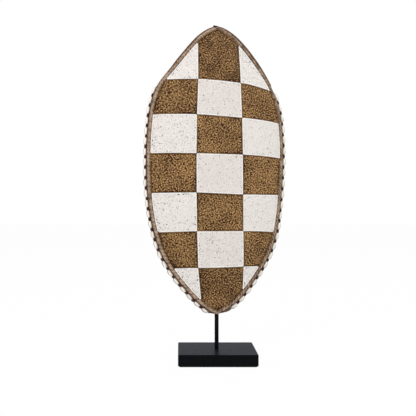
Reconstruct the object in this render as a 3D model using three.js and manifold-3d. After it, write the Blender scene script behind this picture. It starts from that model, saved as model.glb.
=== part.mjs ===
// Leaf-shaped beaded shield on a rod stand. Millimetres, +Z up, the front looks towards -Y.
// The origin is the middle of the stand's underside, on the axis of the rod.
import * as THREE from 'three';
import { mergeVertices } from 'three/addons/utils/BufferGeometryUtils.js';
import Module from 'manifold-3d';

const wasm = await Module();
wasm.setup();

// Fits shared by the whole object
const seatGap = 0.3;
const cutOverrun = 20;
const turnSteps = 16;
const screwSteps = 12;
const cornerSteps = 4;
const bendSteps = 5;
const weldReach = 1e-5;

// Stand: block, ballast, felt
const baseWidth = 180;
const baseDepth = 100;
const baseHeight = 28;
const baseCorner = 2.5;
const baseEdge = 1;
const feltThickness = 1.8;
const feltInset = 3;
const ballastSideRoom = 15;
const ballastFrontRoom = 14;
const ballastThickness = 9;
const ballastCorner = 4;
const screwInset = 9;
const screwLength = 17;
const screwShank = 3.2;
const screwHead = 7;
const screwHeadHeight = 2.4;
const screwPoint = 3;

// Rod with its nut and washer
const rodDiameter = 9.5;
const rodTopChamfer = 0.8;
const studDiameter = 8;
const studTip = 1.5;
const nutAcross = 13;
const nutSides = 6;
const nutHeight = 6.5;
const washerDiameter = 17;
const washerThickness = 1.6;
const counterboreDiameter = 20;

// Shield as it stands on the rod
const shieldTurnDegrees = 12;
const boreOffset = 2.4;
const footHeight = 109.5;
const socketDepth = 112;

// Leaf outline of the bead field, from the lower tip to the upper one; its two sides differ a little
const leafAboveFoot = 9.5;
const leafHeight = 649;
const leafHalfWidth = 155.5;
const rightShares = [
  [0, 0], [0.016, 0.135], [0.05, 0.32], [0.146, 0.636], [0.21, 0.79], [0.273, 0.88], [0.338, 0.929], [0.435, 0.968],
  [0.53, 0.99], [0.627, 0.983], [0.722, 0.935], [0.786, 0.838], [0.83, 0.73], [0.894, 0.53], [0.938, 0.37],
  [0.972, 0.21], [1, 0],
];
const leftShares = [
  [0, 0], [0.016, 0.125], [0.05, 0.293], [0.1, 0.48], [0.146, 0.632], [0.21, 0.788], [0.273, 0.88], [0.338, 0.942],
  [0.435, 0.99], [0.53, 1], [0.627, 0.985], [0.722, 0.935], [0.786, 0.84], [0.851, 0.63], [0.946, 0.305],
  [0.972, 0.19], [1, 0],
];
const outlineSteps = 64;

// Carved wooden body
const shoulderFront = 10;
const domeRise = 24;
const domePower = 3;
const domeRingShares = [0.32, 0.56, 0.75, 0.89];
const shoulderWidth = 6.5;
const shoulderRound = 1;
const bodyBack = 13;
const wallThickness = 11;
const backRimWidth = 14.5;
const footSolid = 125;
const hollowRingShares = [0.3, 0.55, 0.8];
const tipMitre = 1.1;
// The side wall flares out towards the back and is carved askew, lower and further right with its depth
const wallFlare = 6.5;
const wallDrop = 7.5;
const wallShift = 7;

// Cloth, beads, cords and the cowrie tape
const clothThickness = 0.8;
const hemWidth = 12;
const beadThickness = 1.7;
const edgingThickness = 2.6;
const edgingDepth = 0.7;
const edgingFoot = 2.8;
const panelGap = 0.4;
const cordDiameter = 3.5;
const cordClearance = 0.5;
const cordSides = 6;
const tapeWidth = 13;
const tapeThickness = 1.6;
const tapeFront = 1.5;
const cowrieLength = 19.5;
const cowrieWidth = 13;
const cowrieHeight = 6.2;
const cowriePitch = 24.6;
const cowrieEndRoom = 40;
const cowrieProfileShares = [[0, 0.5], [0.72, 0.36], [1, 0.06], [0.66, -0.36], [0, -0.5]];
const cowrieSides = 6;

// Checker lines as shares of the leaf height: left rim, left line, right line, right rim, top row first
const rowShares = [
  [0.81, 0.813, 0.807, 0.79],
  [0.687, 0.688, 0.682, 0.673],
  [0.553, 0.553, 0.552, 0.546],
  [0.416, 0.418, 0.412, 0.412],
  [0.28, 0.284, 0.283, 0.277],
  [0.154, 0.156, 0.156, 0.154],
];
// Column lines as shares of the half width, at the top, at each row line and at the bottom
const topLineShares = [0.284, 0.328];
const columnShares = [[0.312, 0.332], [0.343, 0.34], [0.353, 0.347], [0.351, 0.352], [0.339, 0.363], [0.31, 0.388]];
const bottomLineShares = [0.233, 0.398];
const droopPower = 1.5;
const droopSteps = 4;
const edgingSteps = 3;

// Socket and bearing at the top of the rod
const sleeveWall = 1.4;
const sleeveCap = 2;
const discThickness = 3;
const discStem = 4;
const discStemLength = 8;

// Hand grip at the back
const gripLength = 150;
const gripFoot = 24;
const gripWidth = 24;
const gripBar = 17;
const gripReach = 58;
const gripRound = 2.5;
const gripBend = 16;
const gripFloorGap = 0.8;
const dowelDiameter = 8;
const dowelLength = 20;
const dowelInBody = 6;

const leafBottom = footHeight + leafAboveFoot;
const leafTop = leafBottom + leafHeight;
const leafMiddle = leafBottom + leafHeight / 2;
const clothLayer = seatGap + clothThickness;
const beadLayer = clothLayer + seatGap;
const cordPitch = cordDiameter + seatGap;
const innerCordOffset = cordClearance + cordDiameter / 2;
const rodSocketRadius = rodDiameter / 2 + seatGap;
const sleeveRadius = rodSocketRadius + sleeveWall;
const boreRadius = sleeveRadius + seatGap;

const finishes = {
  paintedWood: { color: 0x17171a, roughness: 0.45, metalness: 0 },
  steel: { color: 0x8d9096, roughness: 0.4, metalness: 1 },
  blackSteel: { color: 0x121214, roughness: 0.4, metalness: 0.6 },
  felt: { color: 0x2b2b2d, roughness: 1, metalness: 0 },
  carvedWood: { color: 0x7a5636, roughness: 0.75, metalness: 0 },
  cloth: { color: 0x3a2b22, roughness: 0.95, metalness: 0 },
  brownBeads: { color: 0x7f6140, roughness: 0.35, metalness: 0 },
  whiteBeads: { color: 0xe2ddd8, roughness: 0.35, metalness: 0 },
  cord: { color: 0x96816f, roughness: 0.9, metalness: 0 },
  cowrie: { color: 0xebe6de, roughness: 0.3, metalness: 0 },
  nylon: { color: 0xe8e6df, roughness: 0.5, metalness: 0 },
};

function piece(name, geometry, finish) {
  const mesh = new THREE.Mesh(geometry, new THREE.MeshStandardMaterial(finishes[finish]));
  mesh.name = name;
  return mesh;
}

// Position-only geometry with shared corners, which the solid library needs
function weld(geometry) {
  const bare = geometry.clone();
  bare.deleteAttribute('normal');
  bare.deleteAttribute('uv');
  return mergeVertices(bare, weldReach);
}

function toSolid(geometry) {
  const bare = weld(geometry);
  const mesh = new wasm.Mesh({
    numProp: 3,
    vertProperties: new Float32Array(bare.attributes.position.array),
    triVerts: new Uint32Array(bare.index.array),
  });
  return new wasm.Manifold(mesh);
}

function fromSolid(solid) {
  const mesh = solid.getMesh();
  const geometry = new THREE.BufferGeometry();
  geometry.setAttribute('position', new THREE.BufferAttribute(new Float32Array(mesh.vertProperties), 3));
  geometry.setIndex(new THREE.BufferAttribute(new Uint32Array(mesh.triVerts), 1));
  geometry.computeVertexNormals();
  return geometry;
}

function cut(geometry, tools) {
  let solid = toSolid(geometry);
  for (const tool of tools) solid = solid.subtract(toSolid(tool));
  return fromSolid(solid);
}

// Turned piece about Z from [radius, height] pairs that start and end on the axis
function turned(profile, steps = turnSteps) {
  return new THREE.LatheGeometry(profile.map(([r, z]) => new THREE.Vector2(r, z)), steps).rotateX(Math.PI / 2);
}

function rod(radius, from, to) {
  return turned([[0, from], [radius, from], [radius, to], [0, to]]);
}

function roundedRectangle(width, depth, corner) {
  const shape = new THREE.Shape();
  const x = width / 2;
  const y = depth / 2;
  shape.moveTo(corner - x, -y);
  shape.lineTo(x - corner, -y);
  shape.absarc(x - corner, corner - y, corner, -Math.PI / 2, 0);
  shape.absarc(x - corner, y - corner, corner, 0, Math.PI / 2);
  shape.absarc(corner - x, y - corner, corner, Math.PI / 2, Math.PI);
  shape.absarc(corner - x, corner - y, corner, Math.PI, 1.5 * Math.PI);
  return shape;
}

function slab(shape, from, to) {
  return new THREE.ExtrudeGeometry(shape, { depth: to - from, bevelEnabled: false, curveSegments: cornerSteps })
    .translate(0, 0, from);
}

// Stand, from the table upwards
const blockBottom = feltThickness + seatGap;
const ballastWidth = baseWidth - 2 * ballastSideRoom;
const ballastDepth = baseDepth - 2 * ballastFrontRoom;
const plateTop = blockBottom + ballastThickness;
const pocketTop = plateTop + seatGap;
const nutTop = plateTop + nutHeight;
const washerTop = nutTop + seatGap + washerThickness;
const counterboreTop = washerTop + seatGap;
const studRadius = studDiameter / 2;
const screwX = ballastWidth / 2 - screwInset;
const screwY = ballastDepth / 2 - screwInset;
const screwPlaces = [[-screwX, -screwY], [screwX, -screwY], [-screwX, screwY], [screwX, screwY]];

function baseBlock() {
  const core = roundedRectangle(baseWidth - 2 * baseEdge, baseDepth - 2 * baseEdge, baseCorner - baseEdge);
  const block = new THREE.ExtrudeGeometry(core, {
    depth: baseHeight - blockBottom - 2 * baseEdge,
    bevelThickness: baseEdge,
    bevelSize: baseEdge,
    bevelSegments: 1,
    curveSegments: cornerSteps,
  }).translate(0, 0, blockBottom + baseEdge);
  const pocketShape = roundedRectangle(ballastWidth + 2 * seatGap, ballastDepth + 2 * seatGap, ballastCorner + seatGap);
  const tools = [
    slab(pocketShape, blockBottom - cutOverrun, pocketTop),
    rod(counterboreDiameter / 2, blockBottom, counterboreTop),
    rod(studRadius + seatGap, blockBottom, baseHeight + cutOverrun),
  ];
  for (const [x, y] of screwPlaces) {
    tools.push(rod(screwShank / 2 + seatGap, blockBottom, blockBottom + screwLength + seatGap).translate(x, y, 0));
  }
  return cut(block, tools);
}

function ballastPlate() {
  const plate = slab(roundedRectangle(ballastWidth, ballastDepth, ballastCorner), blockBottom, plateTop);
  const holeRadius = screwShank / 2 + seatGap;
  const sinkRadius = screwHead / 2 + seatGap;
  const sinkDepth = screwHeadHeight + seatGap;
  const tools = [rod(counterboreDiameter / 2, blockBottom - cutOverrun, plateTop + cutOverrun)];
  for (const [x, y] of screwPlaces) {
    const sink = turned([
      [0, blockBottom - cutOverrun], [sinkRadius, blockBottom - cutOverrun], [sinkRadius, blockBottom],
      [holeRadius, blockBottom + sinkDepth], [holeRadius, plateTop + cutOverrun], [0, plateTop + cutOverrun],
    ]);
    tools.push(sink.translate(x, y, 0));
  }
  return cut(plate, tools);
}

function ballastScrew(x, y) {
  const shank = screwShank / 2;
  return turned([
    [0, blockBottom], [screwHead / 2, blockBottom], [shank, blockBottom + screwHeadHeight],
    [shank, blockBottom + screwLength - screwPoint], [0, blockBottom + screwLength],
  ], screwSteps).translate(x, y, 0);
}

function feltPad() {
  const shape = roundedRectangle(baseWidth - 2 * feltInset, baseDepth - 2 * feltInset, baseCorner);
  return slab(shape, 0, feltThickness);
}

const rodTop = footHeight + socketDepth - sleeveCap - 2 * seatGap - discThickness;

function standRod() {
  const radius = rodDiameter / 2;
  const body = turned([
    [0, blockBottom + seatGap], [studRadius - studTip, blockBottom + seatGap],
    [studRadius, blockBottom + seatGap + studTip], [studRadius, baseHeight + seatGap],
    [radius, baseHeight + seatGap], [radius, rodTop - rodTopChamfer], [radius - rodTopChamfer, rodTop], [0, rodTop],
  ]);
  return cut(body, [rod(discStem / 2 + seatGap, rodTop - discStemLength - seatGap, rodTop + cutOverrun)]);
}

function rodNut() {
  const hexagon = new THREE.Shape();
  const corner = nutAcross / Math.sqrt(3);
  for (let i = 0; i < nutSides; i += 1) {
    const angle = (2 * Math.PI * i) / nutSides;
    if (i === 0) hexagon.moveTo(corner * Math.cos(angle), corner * Math.sin(angle));
    else hexagon.lineTo(corner * Math.cos(angle), corner * Math.sin(angle));
  }
  return cut(slab(hexagon, plateTop, nutTop), [rod(studRadius + seatGap, plateTop - cutOverrun, nutTop + cutOverrun)]);
}

function rodWasher() {
  const from = nutTop + seatGap;
  const disc = rod(washerDiameter / 2, from, washerTop);
  return cut(disc, [rod(studRadius + seatGap, from - cutOverrun, washerTop + cutOverrun)]);
}

// Leaf outline as one closed loop, up the right side from the lower tip and down the left one
function outlineLoop() {
  const side = (shares, sign) => {
    const points = shares.map(([up, out]) => (
      new THREE.Vector3(sign * out * leafHalfWidth, 0, leafBottom + up * leafHeight)
    ));
    return new THREE.CatmullRomCurve3(points, false, 'centripetal').getSpacedPoints(outlineSteps / 2);
  };
  return [...side(rightShares, 1), ...side(leftShares, -1).slice(1, -1).reverse()];
}

const outline = outlineLoop();
const outlineNormals = outline.map((point, i) => {
  const before = outline[(i + outline.length - 1) % outline.length];
  const after = outline[(i + 1) % outline.length];
  const along = after.clone().sub(before).normalize();
  const mitre = i % (outlineSteps / 2) === 0 ? tipMitre : 1;
  return new THREE.Vector3(along.z * mitre, 0, -along.x * mitre);
});

// Point of the outline counted upwards from the lower tip on either side
function sidePoint(side, i) {
  return outline[side > 0 ? i : (outline.length - i) % outline.length];
}

// How far out a place on the face lies, 0 at the middle and 1 on the outline, along the ray through it
function outShare(x, z) {
  const px = Math.abs(x) / leafHalfWidth;
  const pz = (z - leafMiddle) / (leafHeight / 2);
  const angle = Math.atan2(pz, px);
  for (let i = 0; i < outlineSteps / 2; i += 1) {
    const low = sidePoint(x, i);
    const high = sidePoint(x, i + 1);
    const ax = Math.abs(low.x) / leafHalfWidth;
    const az = (low.z - leafMiddle) / (leafHeight / 2);
    const bx = Math.abs(high.x) / leafHalfWidth;
    const bz = (high.z - leafMiddle) / (leafHeight / 2);
    const last = i === outlineSteps / 2 - 1;
    if (Math.atan2(bz, bx) >= angle || last) {
      const edge = (ax * bz - az * bx) / (Math.cos(angle) * (bz - az) - Math.sin(angle) * (bx - ax));
      return Math.hypot(px, pz) / edge;
    }
  }
  return 1;
}

function domeAt(x, z) {
  return domeRise * (1 - Math.min(1, outShare(x, z)) ** domePower);
}

function wallShare(y) {
  return Math.max(0, (y + shoulderFront) / (bodyBack + shoulderFront));
}

// Side wall places lean down and to the right with their depth, and the foot is cut level
function wallPlace(point, layer) {
  const share = wallShare(point.y);
  const x = point.x + wallShift * share;
  const z = Math.max(point.z - wallDrop * share, footHeight + clothLayer - layer);
  return new THREE.Vector3(x, point.y, z);
}

function faceRing(share, layer) {
  return outline.map((p) => {
    const x = p.x * share;
    const z = leafMiddle + (p.z - leafMiddle) * share;
    return new THREE.Vector3(x, -shoulderFront - layer - domeRise * (1 - share ** domePower), z);
  });
}

function rimRing(offset, y, layer) {
  return outline.map((p, i) => {
    const moved = p.clone().addScaledVector(outlineNormals[i], offset + wallFlare * wallShare(y));
    return wallPlace(new THREE.Vector3(moved.x, y, moved.z), layer);
  });
}

function pole(y) {
  return [new THREE.Vector3(0, y, leafMiddle)];
}

// Closed skin over a row of closed rings, with a single point at each end. The rings of the back half of a
// thin layer run the other way, and their four-sided cells are split along the same corners as the front's.
function ringBody(rings, frontCount = rings.length) {
  const positions = [];
  const count = outline.length;
  const triangle = (a, b, c) => positions.push(...a.toArray(), ...b.toArray(), ...c.toArray());
  for (let r = 0; r + 1 < rings.length; r += 1) {
    const near = rings[r];
    const far = rings[r + 1];
    for (let i = 0; i < count; i += 1) {
      const j = (i + 1) % count;
      if (near.length === 1) triangle(near[0], far[i], far[j]);
      else if (far.length === 1) triangle(near[i], far[0], near[j]);
      else if (r < frontCount) {
        triangle(near[i], far[i], near[j]);
        triangle(near[j], far[i], far[j]);
      } else {
        triangle(near[i], far[i], far[j]);
        triangle(near[i], far[j], near[j]);
      }
    }
  }
  const geometry = new THREE.BufferGeometry();
  geometry.setAttribute('position', new THREE.BufferAttribute(new Float32Array(positions), 3));
  return mergeVertices(geometry, weldReach);
}

function frontRings(layer) {
  const rings = [pole(-shoulderFront - layer - domeRise)];
  for (const share of domeRingShares) rings.push(faceRing(share, layer));
  rings.push(faceRing(1, layer));
  return rings;
}

const footTop = footHeight + footSolid;

function hollowEdge() {
  return outline.map((p, i) => {
    const moved = p.clone().addScaledVector(outlineNormals[i], shoulderWidth - backRimWidth);
    return new THREE.Vector3(moved.x, 0, Math.max(moved.z, footTop));
  });
}

function hollowRing(share) {
  return hollowEdge().map((p) => {
    const x = p.x * share;
    const z = leafMiddle + (p.z - leafMiddle) * share;
    return new THREE.Vector3(x, wallThickness - shoulderFront - domeAt(x, z), z);
  });
}

const boreTop = footHeight + socketDepth + seatGap;

function footBore() {
  return rod(boreRadius, footHeight - cutOverrun, boreTop).translate(boreOffset, 0, 0);
}

const hollowFloor = wallThickness - shoulderFront - domeRise;
const gripSeat = hollowFloor + gripFloorGap;
const gripHeight = leafMiddle;
const dowelRise = gripLength / 2 - gripFoot / 2;
const dowelStart = hollowFloor - dowelInBody;
const dowelPlaces = [gripHeight - dowelRise, gripHeight + dowelRise];

// Round peg along Y, from its front end backwards
function peg(radius, from, length, z) {
  return rod(radius, 0, length).rotateX(-Math.PI / 2).translate(0, from, z);
}

function shieldBody() {
  const backEdge = hollowEdge().map((p) => wallPlace(new THREE.Vector3(p.x, bodyBack, p.z), 0));
  const rings = [
    ...frontRings(0),
    rimRing(shoulderWidth - shoulderRound, -shoulderFront, 0),
    rimRing(shoulderWidth, shoulderRound - shoulderFront, 0),
    rimRing(shoulderWidth, bodyBack, 0),
    backEdge,
    hollowRing(1),
    ...[...hollowRingShares].reverse().map(hollowRing),
    pole(hollowFloor),
  ];
  const tools = [footBore()];
  for (const z of dowelPlaces) {
    tools.push(peg(dowelDiameter / 2 + seatGap, dowelStart - seatGap, dowelLength, z));
  }
  return cut(ringBody(rings), tools);
}

// Rings of one side of the cloth, from the middle of the face round to the hem on the back
function clothRings(layer) {
  const offset = shoulderWidth + layer;
  return [
    ...frontRings(layer),
    rimRing(offset - shoulderRound, -shoulderFront - layer, layer),
    rimRing(offset, shoulderRound - shoulderFront - layer, layer),
    rimRing(offset, bodyBack + layer, layer),
    rimRing(shoulderWidth - hemWidth, bodyBack + layer, layer),
  ];
}

function layerBody(outside, inside) {
  return ringBody([...outside, ...inside.reverse()], outside.length);
}

function clothCover() {
  return cut(layerBody(clothRings(clothLayer), clothRings(seatGap)), [footBore()]);
}

// Half width of the leaf at a height, on the left (0) or the right (1)
function leafHalfAt(z, side) {
  for (let i = 0; i < outlineSteps / 2; i += 1) {
    const low = sidePoint(side, i);
    const high = sidePoint(side, i + 1);
    if (z <= high.z) return Math.abs(low.x + ((high.x - low.x) * Math.max(0, z - low.z)) / (high.z - low.z));
  }
  return 0;
}

// The six checker lines with their real heights and places, top first, side 0 left and side 1 right
const lines = rowShares.map((shares, i) => {
  const heights = shares.map((share) => leafBottom + share * leafHeight);
  return { heights, columns: columnShares[i].map((share) => share * leafHalfWidth) };
});

// Points of one line from the column line out past the rim: level, then drooping towards the rim
function sideLinePoints(line, side, shift) {
  const outer = side === 0 ? line.heights[0] : line.heights[3];
  const inner = line.heights[1 + side];
  const from = line.columns[side];
  const to = leafHalfAt(outer, side);
  const points = [];
  for (let i = 0; i <= droopSteps; i += 1) {
    const t = i / droopSteps;
    points.push([from + (to - from) * t, inner + (outer - inner) * t ** droopPower + shift]);
  }
  points.push([leafHalfWidth + cutOverrun, outer + shift]);
  return points;
}

const beyondTop = leafTop + cutOverrun;
const beyondBottom = leafBottom - cutOverrun;
const halfGap = panelGap / 2;

// Cutting outline of a side panel, given with x growing outwards
function sidePanelOutline(row, side) {
  const sign = side === 0 ? -1 : 1;
  let upper;
  let lower;
  if (row === 0) {
    const x = topLineShares[side] * leafHalfWidth;
    upper = [[x, beyondTop], [leafHalfWidth + cutOverrun, beyondTop]];
  } else upper = sideLinePoints(lines[row - 1], side, -halfGap);
  if (row === lines.length) {
    const x = bottomLineShares[side] * leafHalfWidth;
    lower = [[x, beyondBottom], [leafHalfWidth + cutOverrun, beyondBottom]];
  } else lower = sideLinePoints(lines[row], side, halfGap);
  const loop = [...upper, ...lower.reverse()];
  const last = loop.length - 1;
  loop[0] = [loop[0][0] + halfGap, loop[0][1]];
  loop[last] = [loop[last][0] + halfGap, loop[last][1]];
  return loop.map(([x, z]) => new THREE.Vector2(sign * x, z));
}

function middlePanelOutline(row) {
  const top = row === 0
    ? { columns: topLineShares.map((share) => share * leafHalfWidth), heights: [0, beyondTop, beyondTop, 0] }
    : lines[row - 1];
  const bottom = row === lines.length
    ? { columns: bottomLineShares.map((share) => share * leafHalfWidth), heights: [0, beyondBottom, beyondBottom, 0] }
    : lines[row];
  return [
    new THREE.Vector2(halfGap - top.columns[0], top.heights[1] - halfGap),
    new THREE.Vector2(top.columns[1] - halfGap, top.heights[2] - halfGap),
    new THREE.Vector2(bottom.columns[1] - halfGap, bottom.heights[2] + halfGap),
    new THREE.Vector2(halfGap - bottom.columns[0], bottom.heights[1] + halfGap),
  ];
}

// Upright prism through the whole face behind an outline given in X and Z
function facePrism(points) {
  const depth = shoulderFront + domeRise + beadLayer + edgingThickness + 2 * cutOverrun;
  const shape = new THREE.Shape(THREE.ShapeUtils.isClockWise(points) ? [...points].reverse() : points);
  return new THREE.ExtrudeGeometry(shape, { depth, bevelEnabled: false })
    .rotateX(Math.PI / 2)
    .translate(0, cutOverrun, 0);
}

// Three-sided ridge along a run of places on the face, for the strands of beads that edge the cells
function edgingRun(places, across) {
  const sections = places.map(([x, z], i) => {
    const at = (reach, thickness) => {
      const sx = x + across[i].x * reach;
      const sz = z + across[i].z * reach;
      return [sx, -shoulderFront - beadLayer - thickness - domeAt(sx, sz), sz];
    };
    return [at(-edgingFoot, edgingDepth), at(edgingFoot, edgingDepth), at(0, edgingThickness)];
  });
  return sections.slice(1).map((section, i) => wasm.Manifold.hull([...sections[i], ...section]));
}

// Edging along every checker line, on both of its cells
function allEdging() {
  const straight = (from, to) => {
    const along = new THREE.Vector3(to[0] - from[0], 0, to[1] - from[1]).normalize();
    const across = new THREE.Vector3(along.z, 0, -along.x);
    const places = [];
    for (let i = 0; i <= edgingSteps; i += 1) {
      const t = i / edgingSteps;
      places.push([from[0] + (to[0] - from[0]) * t, from[1] + (to[1] - from[1]) * t]);
    }
    return edgingRun(places, places.map(() => across));
  };
  const parts = [];
  for (let i = 0; i < lines.length; i += 1) {
    const { heights, columns } = lines[i];
    parts.push(...straight([-columns[0], heights[1]], [columns[1], heights[2]]));
    for (const side of [0, 1]) {
      const sign = side === 0 ? -1 : 1;
      const level = new THREE.Vector3(0, 0, 1);
      const places = sideLinePoints(lines[i], side, 0).slice(0, -1).map(([x, z]) => [sign * x, z]);
      parts.push(...edgingRun(places, places.map(() => level)));
    }
  }
  for (const side of [0, 1]) {
    const sign = side === 0 ? -1 : 1;
    const column = lines.map(({ heights, columns }) => [sign * columns[side], heights[1 + side]]);
    const top = [sign * topLineShares[side] * leafHalfWidth, leafTop];
    const bottom = [sign * bottomLineShares[side] * leafHalfWidth, leafBottom];
    const corners = [top, ...column, bottom];
    for (let i = 0; i + 1 < corners.length; i += 1) parts.push(...straight(corners[i], corners[i + 1]));
  }
  return wasm.Manifold.union(parts);
}

const leafPrism = toSolid(facePrism(outline.map((p) => new THREE.Vector2(p.x, p.z))));
const beadSheet = toSolid(layerBody(frontRings(beadLayer + beadThickness), frontRings(beadLayer)));
const beadwork = beadSheet.add(allEdging().intersect(leafPrism));

function beadPanel(points) {
  return fromSolid(beadwork.intersect(toSolid(facePrism(points))));
}

// Rim cord along the outline, its two ends meeting at the foot
function rimCord(offset) {
  const radius = cordDiameter / 2;
  const y = -shoulderFront - clothLayer - seatGap - radius;
  const lowest = footHeight + radius;
  const path = outline.map((p, i) => {
    const moved = p.clone().addScaledVector(outlineNormals[i], offset);
    return new THREE.Vector3(moved.x, y, Math.max(moved.z, lowest));
  });
  path[0].x = radius;
  path.push(new THREE.Vector3(-radius, y, path[0].z));
  const section = new THREE.Shape();
  for (let i = 0; i < cordSides; i += 1) {
    const angle = (2 * Math.PI * (i + 0.5)) / cordSides;
    if (i === 0) section.moveTo(radius * Math.cos(angle), radius * Math.sin(angle));
    else section.lineTo(radius * Math.cos(angle), radius * Math.sin(angle));
  }
  const extrudePath = new THREE.CatmullRomCurve3(path, false, 'centripetal');
  return new THREE.ExtrudeGeometry(section, { steps: outline.length, bevelEnabled: false, extrudePath });
}

// One cowrie lying on its flat side: length along Y, domed towards +Z, cut level at its foot
function cowrieShape() {
  const profile = cowrieProfileShares.map(([r, along]) => [(r * cowrieWidth) / 2, along * cowrieLength]);
  const egg = new THREE.LatheGeometry(profile.map(([r, y]) => new THREE.Vector2(r, y)).reverse(), cowrieSides)
    .scale(1, 1, (2 * cowrieHeight) / cowrieWidth);
  const keep = new THREE.BoxGeometry(2 * cowrieWidth, 2 * cowrieLength, 2 * cowrieHeight)
    .translate(0, 0, cowrieHeight - tapeThickness / 2);
  return fromSolid(toSolid(egg).intersect(toSolid(keep)));
}

const cowrie = cowrieShape();

// Cloth tape along one side wall with its row of cowries
function cowrieTape(side) {
  const inner = shoulderWidth + clothLayer + seatGap;
  const outer = inner + tapeThickness;
  const half = outlineSteps / 2;
  const front = tapeFront - shoulderFront;
  const place = (i, offset, y) => {
    const k = side > 0 ? i : (outline.length - i) % outline.length;
    const moved = outline[k].clone().addScaledVector(outlineNormals[k], offset + wallFlare * wallShare(y));
    return wallPlace(new THREE.Vector3(moved.x, y, moved.z), 0);
  };
  const centre = [];
  for (let i = 0; i <= half; i += 1) centre.push(place(i, outer, front + tapeWidth / 2));
  const route = new THREE.CatmullRomCurve3(centre, false, 'centripetal');
  const total = route.getLength();
  const cowrieCount = Math.floor((total - 2 * cowrieEndRoom) / cowriePitch) + 1;
  const start = (total - (cowrieCount - 1) * cowriePitch) / 2;
  const positions = [];
  const quad = (a, b, c, d) => {
    positions.push(...a.toArray(), ...b.toArray(), ...c.toArray());
    positions.push(...a.toArray(), ...c.toArray(), ...d.toArray());
  };
  const sections = [];
  for (let i = 1; i < half; i += 1) {
    sections.push([
      place(i, inner, front), place(i, outer, front), place(i, outer, front + tapeWidth),
      place(i, inner, front + tapeWidth),
    ]);
  }
  for (let i = 0; i + 1 < sections.length; i += 1) {
    for (let j = 0; j < 4; j += 1) {
      const k = (j + 1) % 4;
      if (side > 0) quad(sections[i][j], sections[i][k], sections[i + 1][k], sections[i + 1][j]);
      else quad(sections[i][k], sections[i][j], sections[i + 1][j], sections[i + 1][k]);
    }
  }
  const first = sections[0];
  const last = sections[sections.length - 1];
  if (side > 0) {
    quad(first[3], first[2], first[1], first[0]);
    quad(last[0], last[1], last[2], last[3]);
  } else {
    quad(first[0], first[1], first[2], first[3]);
    quad(last[3], last[2], last[1], last[0]);
  }
  const band = new THREE.BufferGeometry();
  band.setAttribute('position', new THREE.BufferAttribute(new Float32Array(positions), 3));
  let solid = toSolid(band);
  for (let i = 0; i < cowrieCount; i += 1) {
    const u = (start + i * cowriePitch) / total;
    const along = route.getTangentAt(u);
    const flare = new THREE.Vector3(along.z, 0, -along.x).multiplyScalar(side * wallFlare);
    const depth = new THREE.Vector3(wallShift, bodyBack + shoulderFront, -wallDrop).add(flare).normalize();
    const outwards = new THREE.Vector3().crossVectors(depth, along).multiplyScalar(side).normalize();
    const across = new THREE.Vector3().crossVectors(along, outwards).normalize();
    const matrix = new THREE.Matrix4().makeBasis(across, along, outwards).setPosition(route.getPointAt(u));
    solid = solid.add(toSolid(cowrie.clone().applyMatrix4(matrix)));
  }
  return fromSolid(solid);
}

function socketSleeve() {
  const bottom = footHeight + seatGap;
  const top = footHeight + socketDepth;
  return turned([
    [rodSocketRadius, bottom], [sleeveRadius, bottom], [sleeveRadius, top], [0, top],
    [0, top - sleeveCap], [rodSocketRadius, top - sleeveCap], [rodSocketRadius, bottom],
  ]);
}

function bearingDisc() {
  const bottom = rodTop + seatGap;
  const radius = rodDiameter / 2 - rodTopChamfer / 2;
  const top = bottom + discThickness;
  const stem = discStem / 2;
  return turned([[0, rodTop - discStemLength], [stem, rodTop - discStemLength], [stem, bottom], [radius, bottom],
    [radius, top], [0, top]]);
}

function handGrip() {
  const back = gripSeat + gripReach;
  const gap = back - gripBar;
  const end = gripLength / 2;
  const inside = end - gripFoot;
  const shape = new THREE.Shape();
  shape.moveTo(gripSeat, -end);
  shape.lineTo(back - gripBend, -end);
  shape.quadraticCurveTo(back, -end, back, gripBend - end);
  shape.lineTo(back, end - gripBend);
  shape.quadraticCurveTo(back, end, back - gripBend, end);
  shape.lineTo(gripSeat, end);
  shape.lineTo(gripSeat, inside);
  shape.lineTo(gap - gripBend / 2, inside);
  shape.quadraticCurveTo(gap, inside, gap, inside - gripBend / 2);
  shape.lineTo(gap, gripBend / 2 - inside);
  shape.quadraticCurveTo(gap, -inside, gap - gripBend / 2, -inside);
  shape.lineTo(gripSeat, -inside);
  const arch = new THREE.ExtrudeGeometry(shape, {
    depth: gripWidth - 2 * gripRound,
    bevelThickness: gripRound,
    bevelSize: gripRound,
    bevelOffset: -gripRound,
    bevelSegments: 2,
    curveSegments: bendSteps,
  }).translate(0, 0, gripRound - gripWidth / 2);
  const y = new THREE.Vector3(0, 1, 0);
  const z = new THREE.Vector3(0, 0, 1);
  const x = new THREE.Vector3(1, 0, 0);
  arch.applyMatrix4(new THREE.Matrix4().makeBasis(y, z, x)).translate(0, 0, gripHeight);
  const radius = dowelDiameter / 2 + seatGap;
  const depth = dowelLength - dowelInBody;
  return cut(arch, dowelPlaces.map((height) => peg(radius, hollowFloor - seatGap, depth + 2 * seatGap, height)));
}

const object = new THREE.Group();

const stand = new THREE.Group();
stand.add(piece('base_block', baseBlock(), 'paintedWood'));
stand.add(piece('ballast_plate', ballastPlate(), 'steel'));
stand.add(piece('felt_pad', feltPad(), 'felt'));
stand.add(piece('stand_rod', standRod(), 'blackSteel'));
stand.add(piece('rod_nut', rodNut(), 'steel'));
stand.add(piece('rod_washer', rodWasher(), 'steel'));
screwPlaces.forEach(([x, y], i) => stand.add(piece(`ballast_screw_${i + 1}`, ballastScrew(x, y), 'steel')));
object.add(stand);

// Everything that turns on the rod; the leaf sits a little to the left of its bore
const turning = new THREE.Group();
turning.rotation.z = THREE.MathUtils.degToRad(shieldTurnDegrees);
turning.add(piece('bearing_disc', bearingDisc(), 'nylon'));
turning.add(piece('socket_sleeve', socketSleeve(), 'steel'));
object.add(turning);

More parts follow.
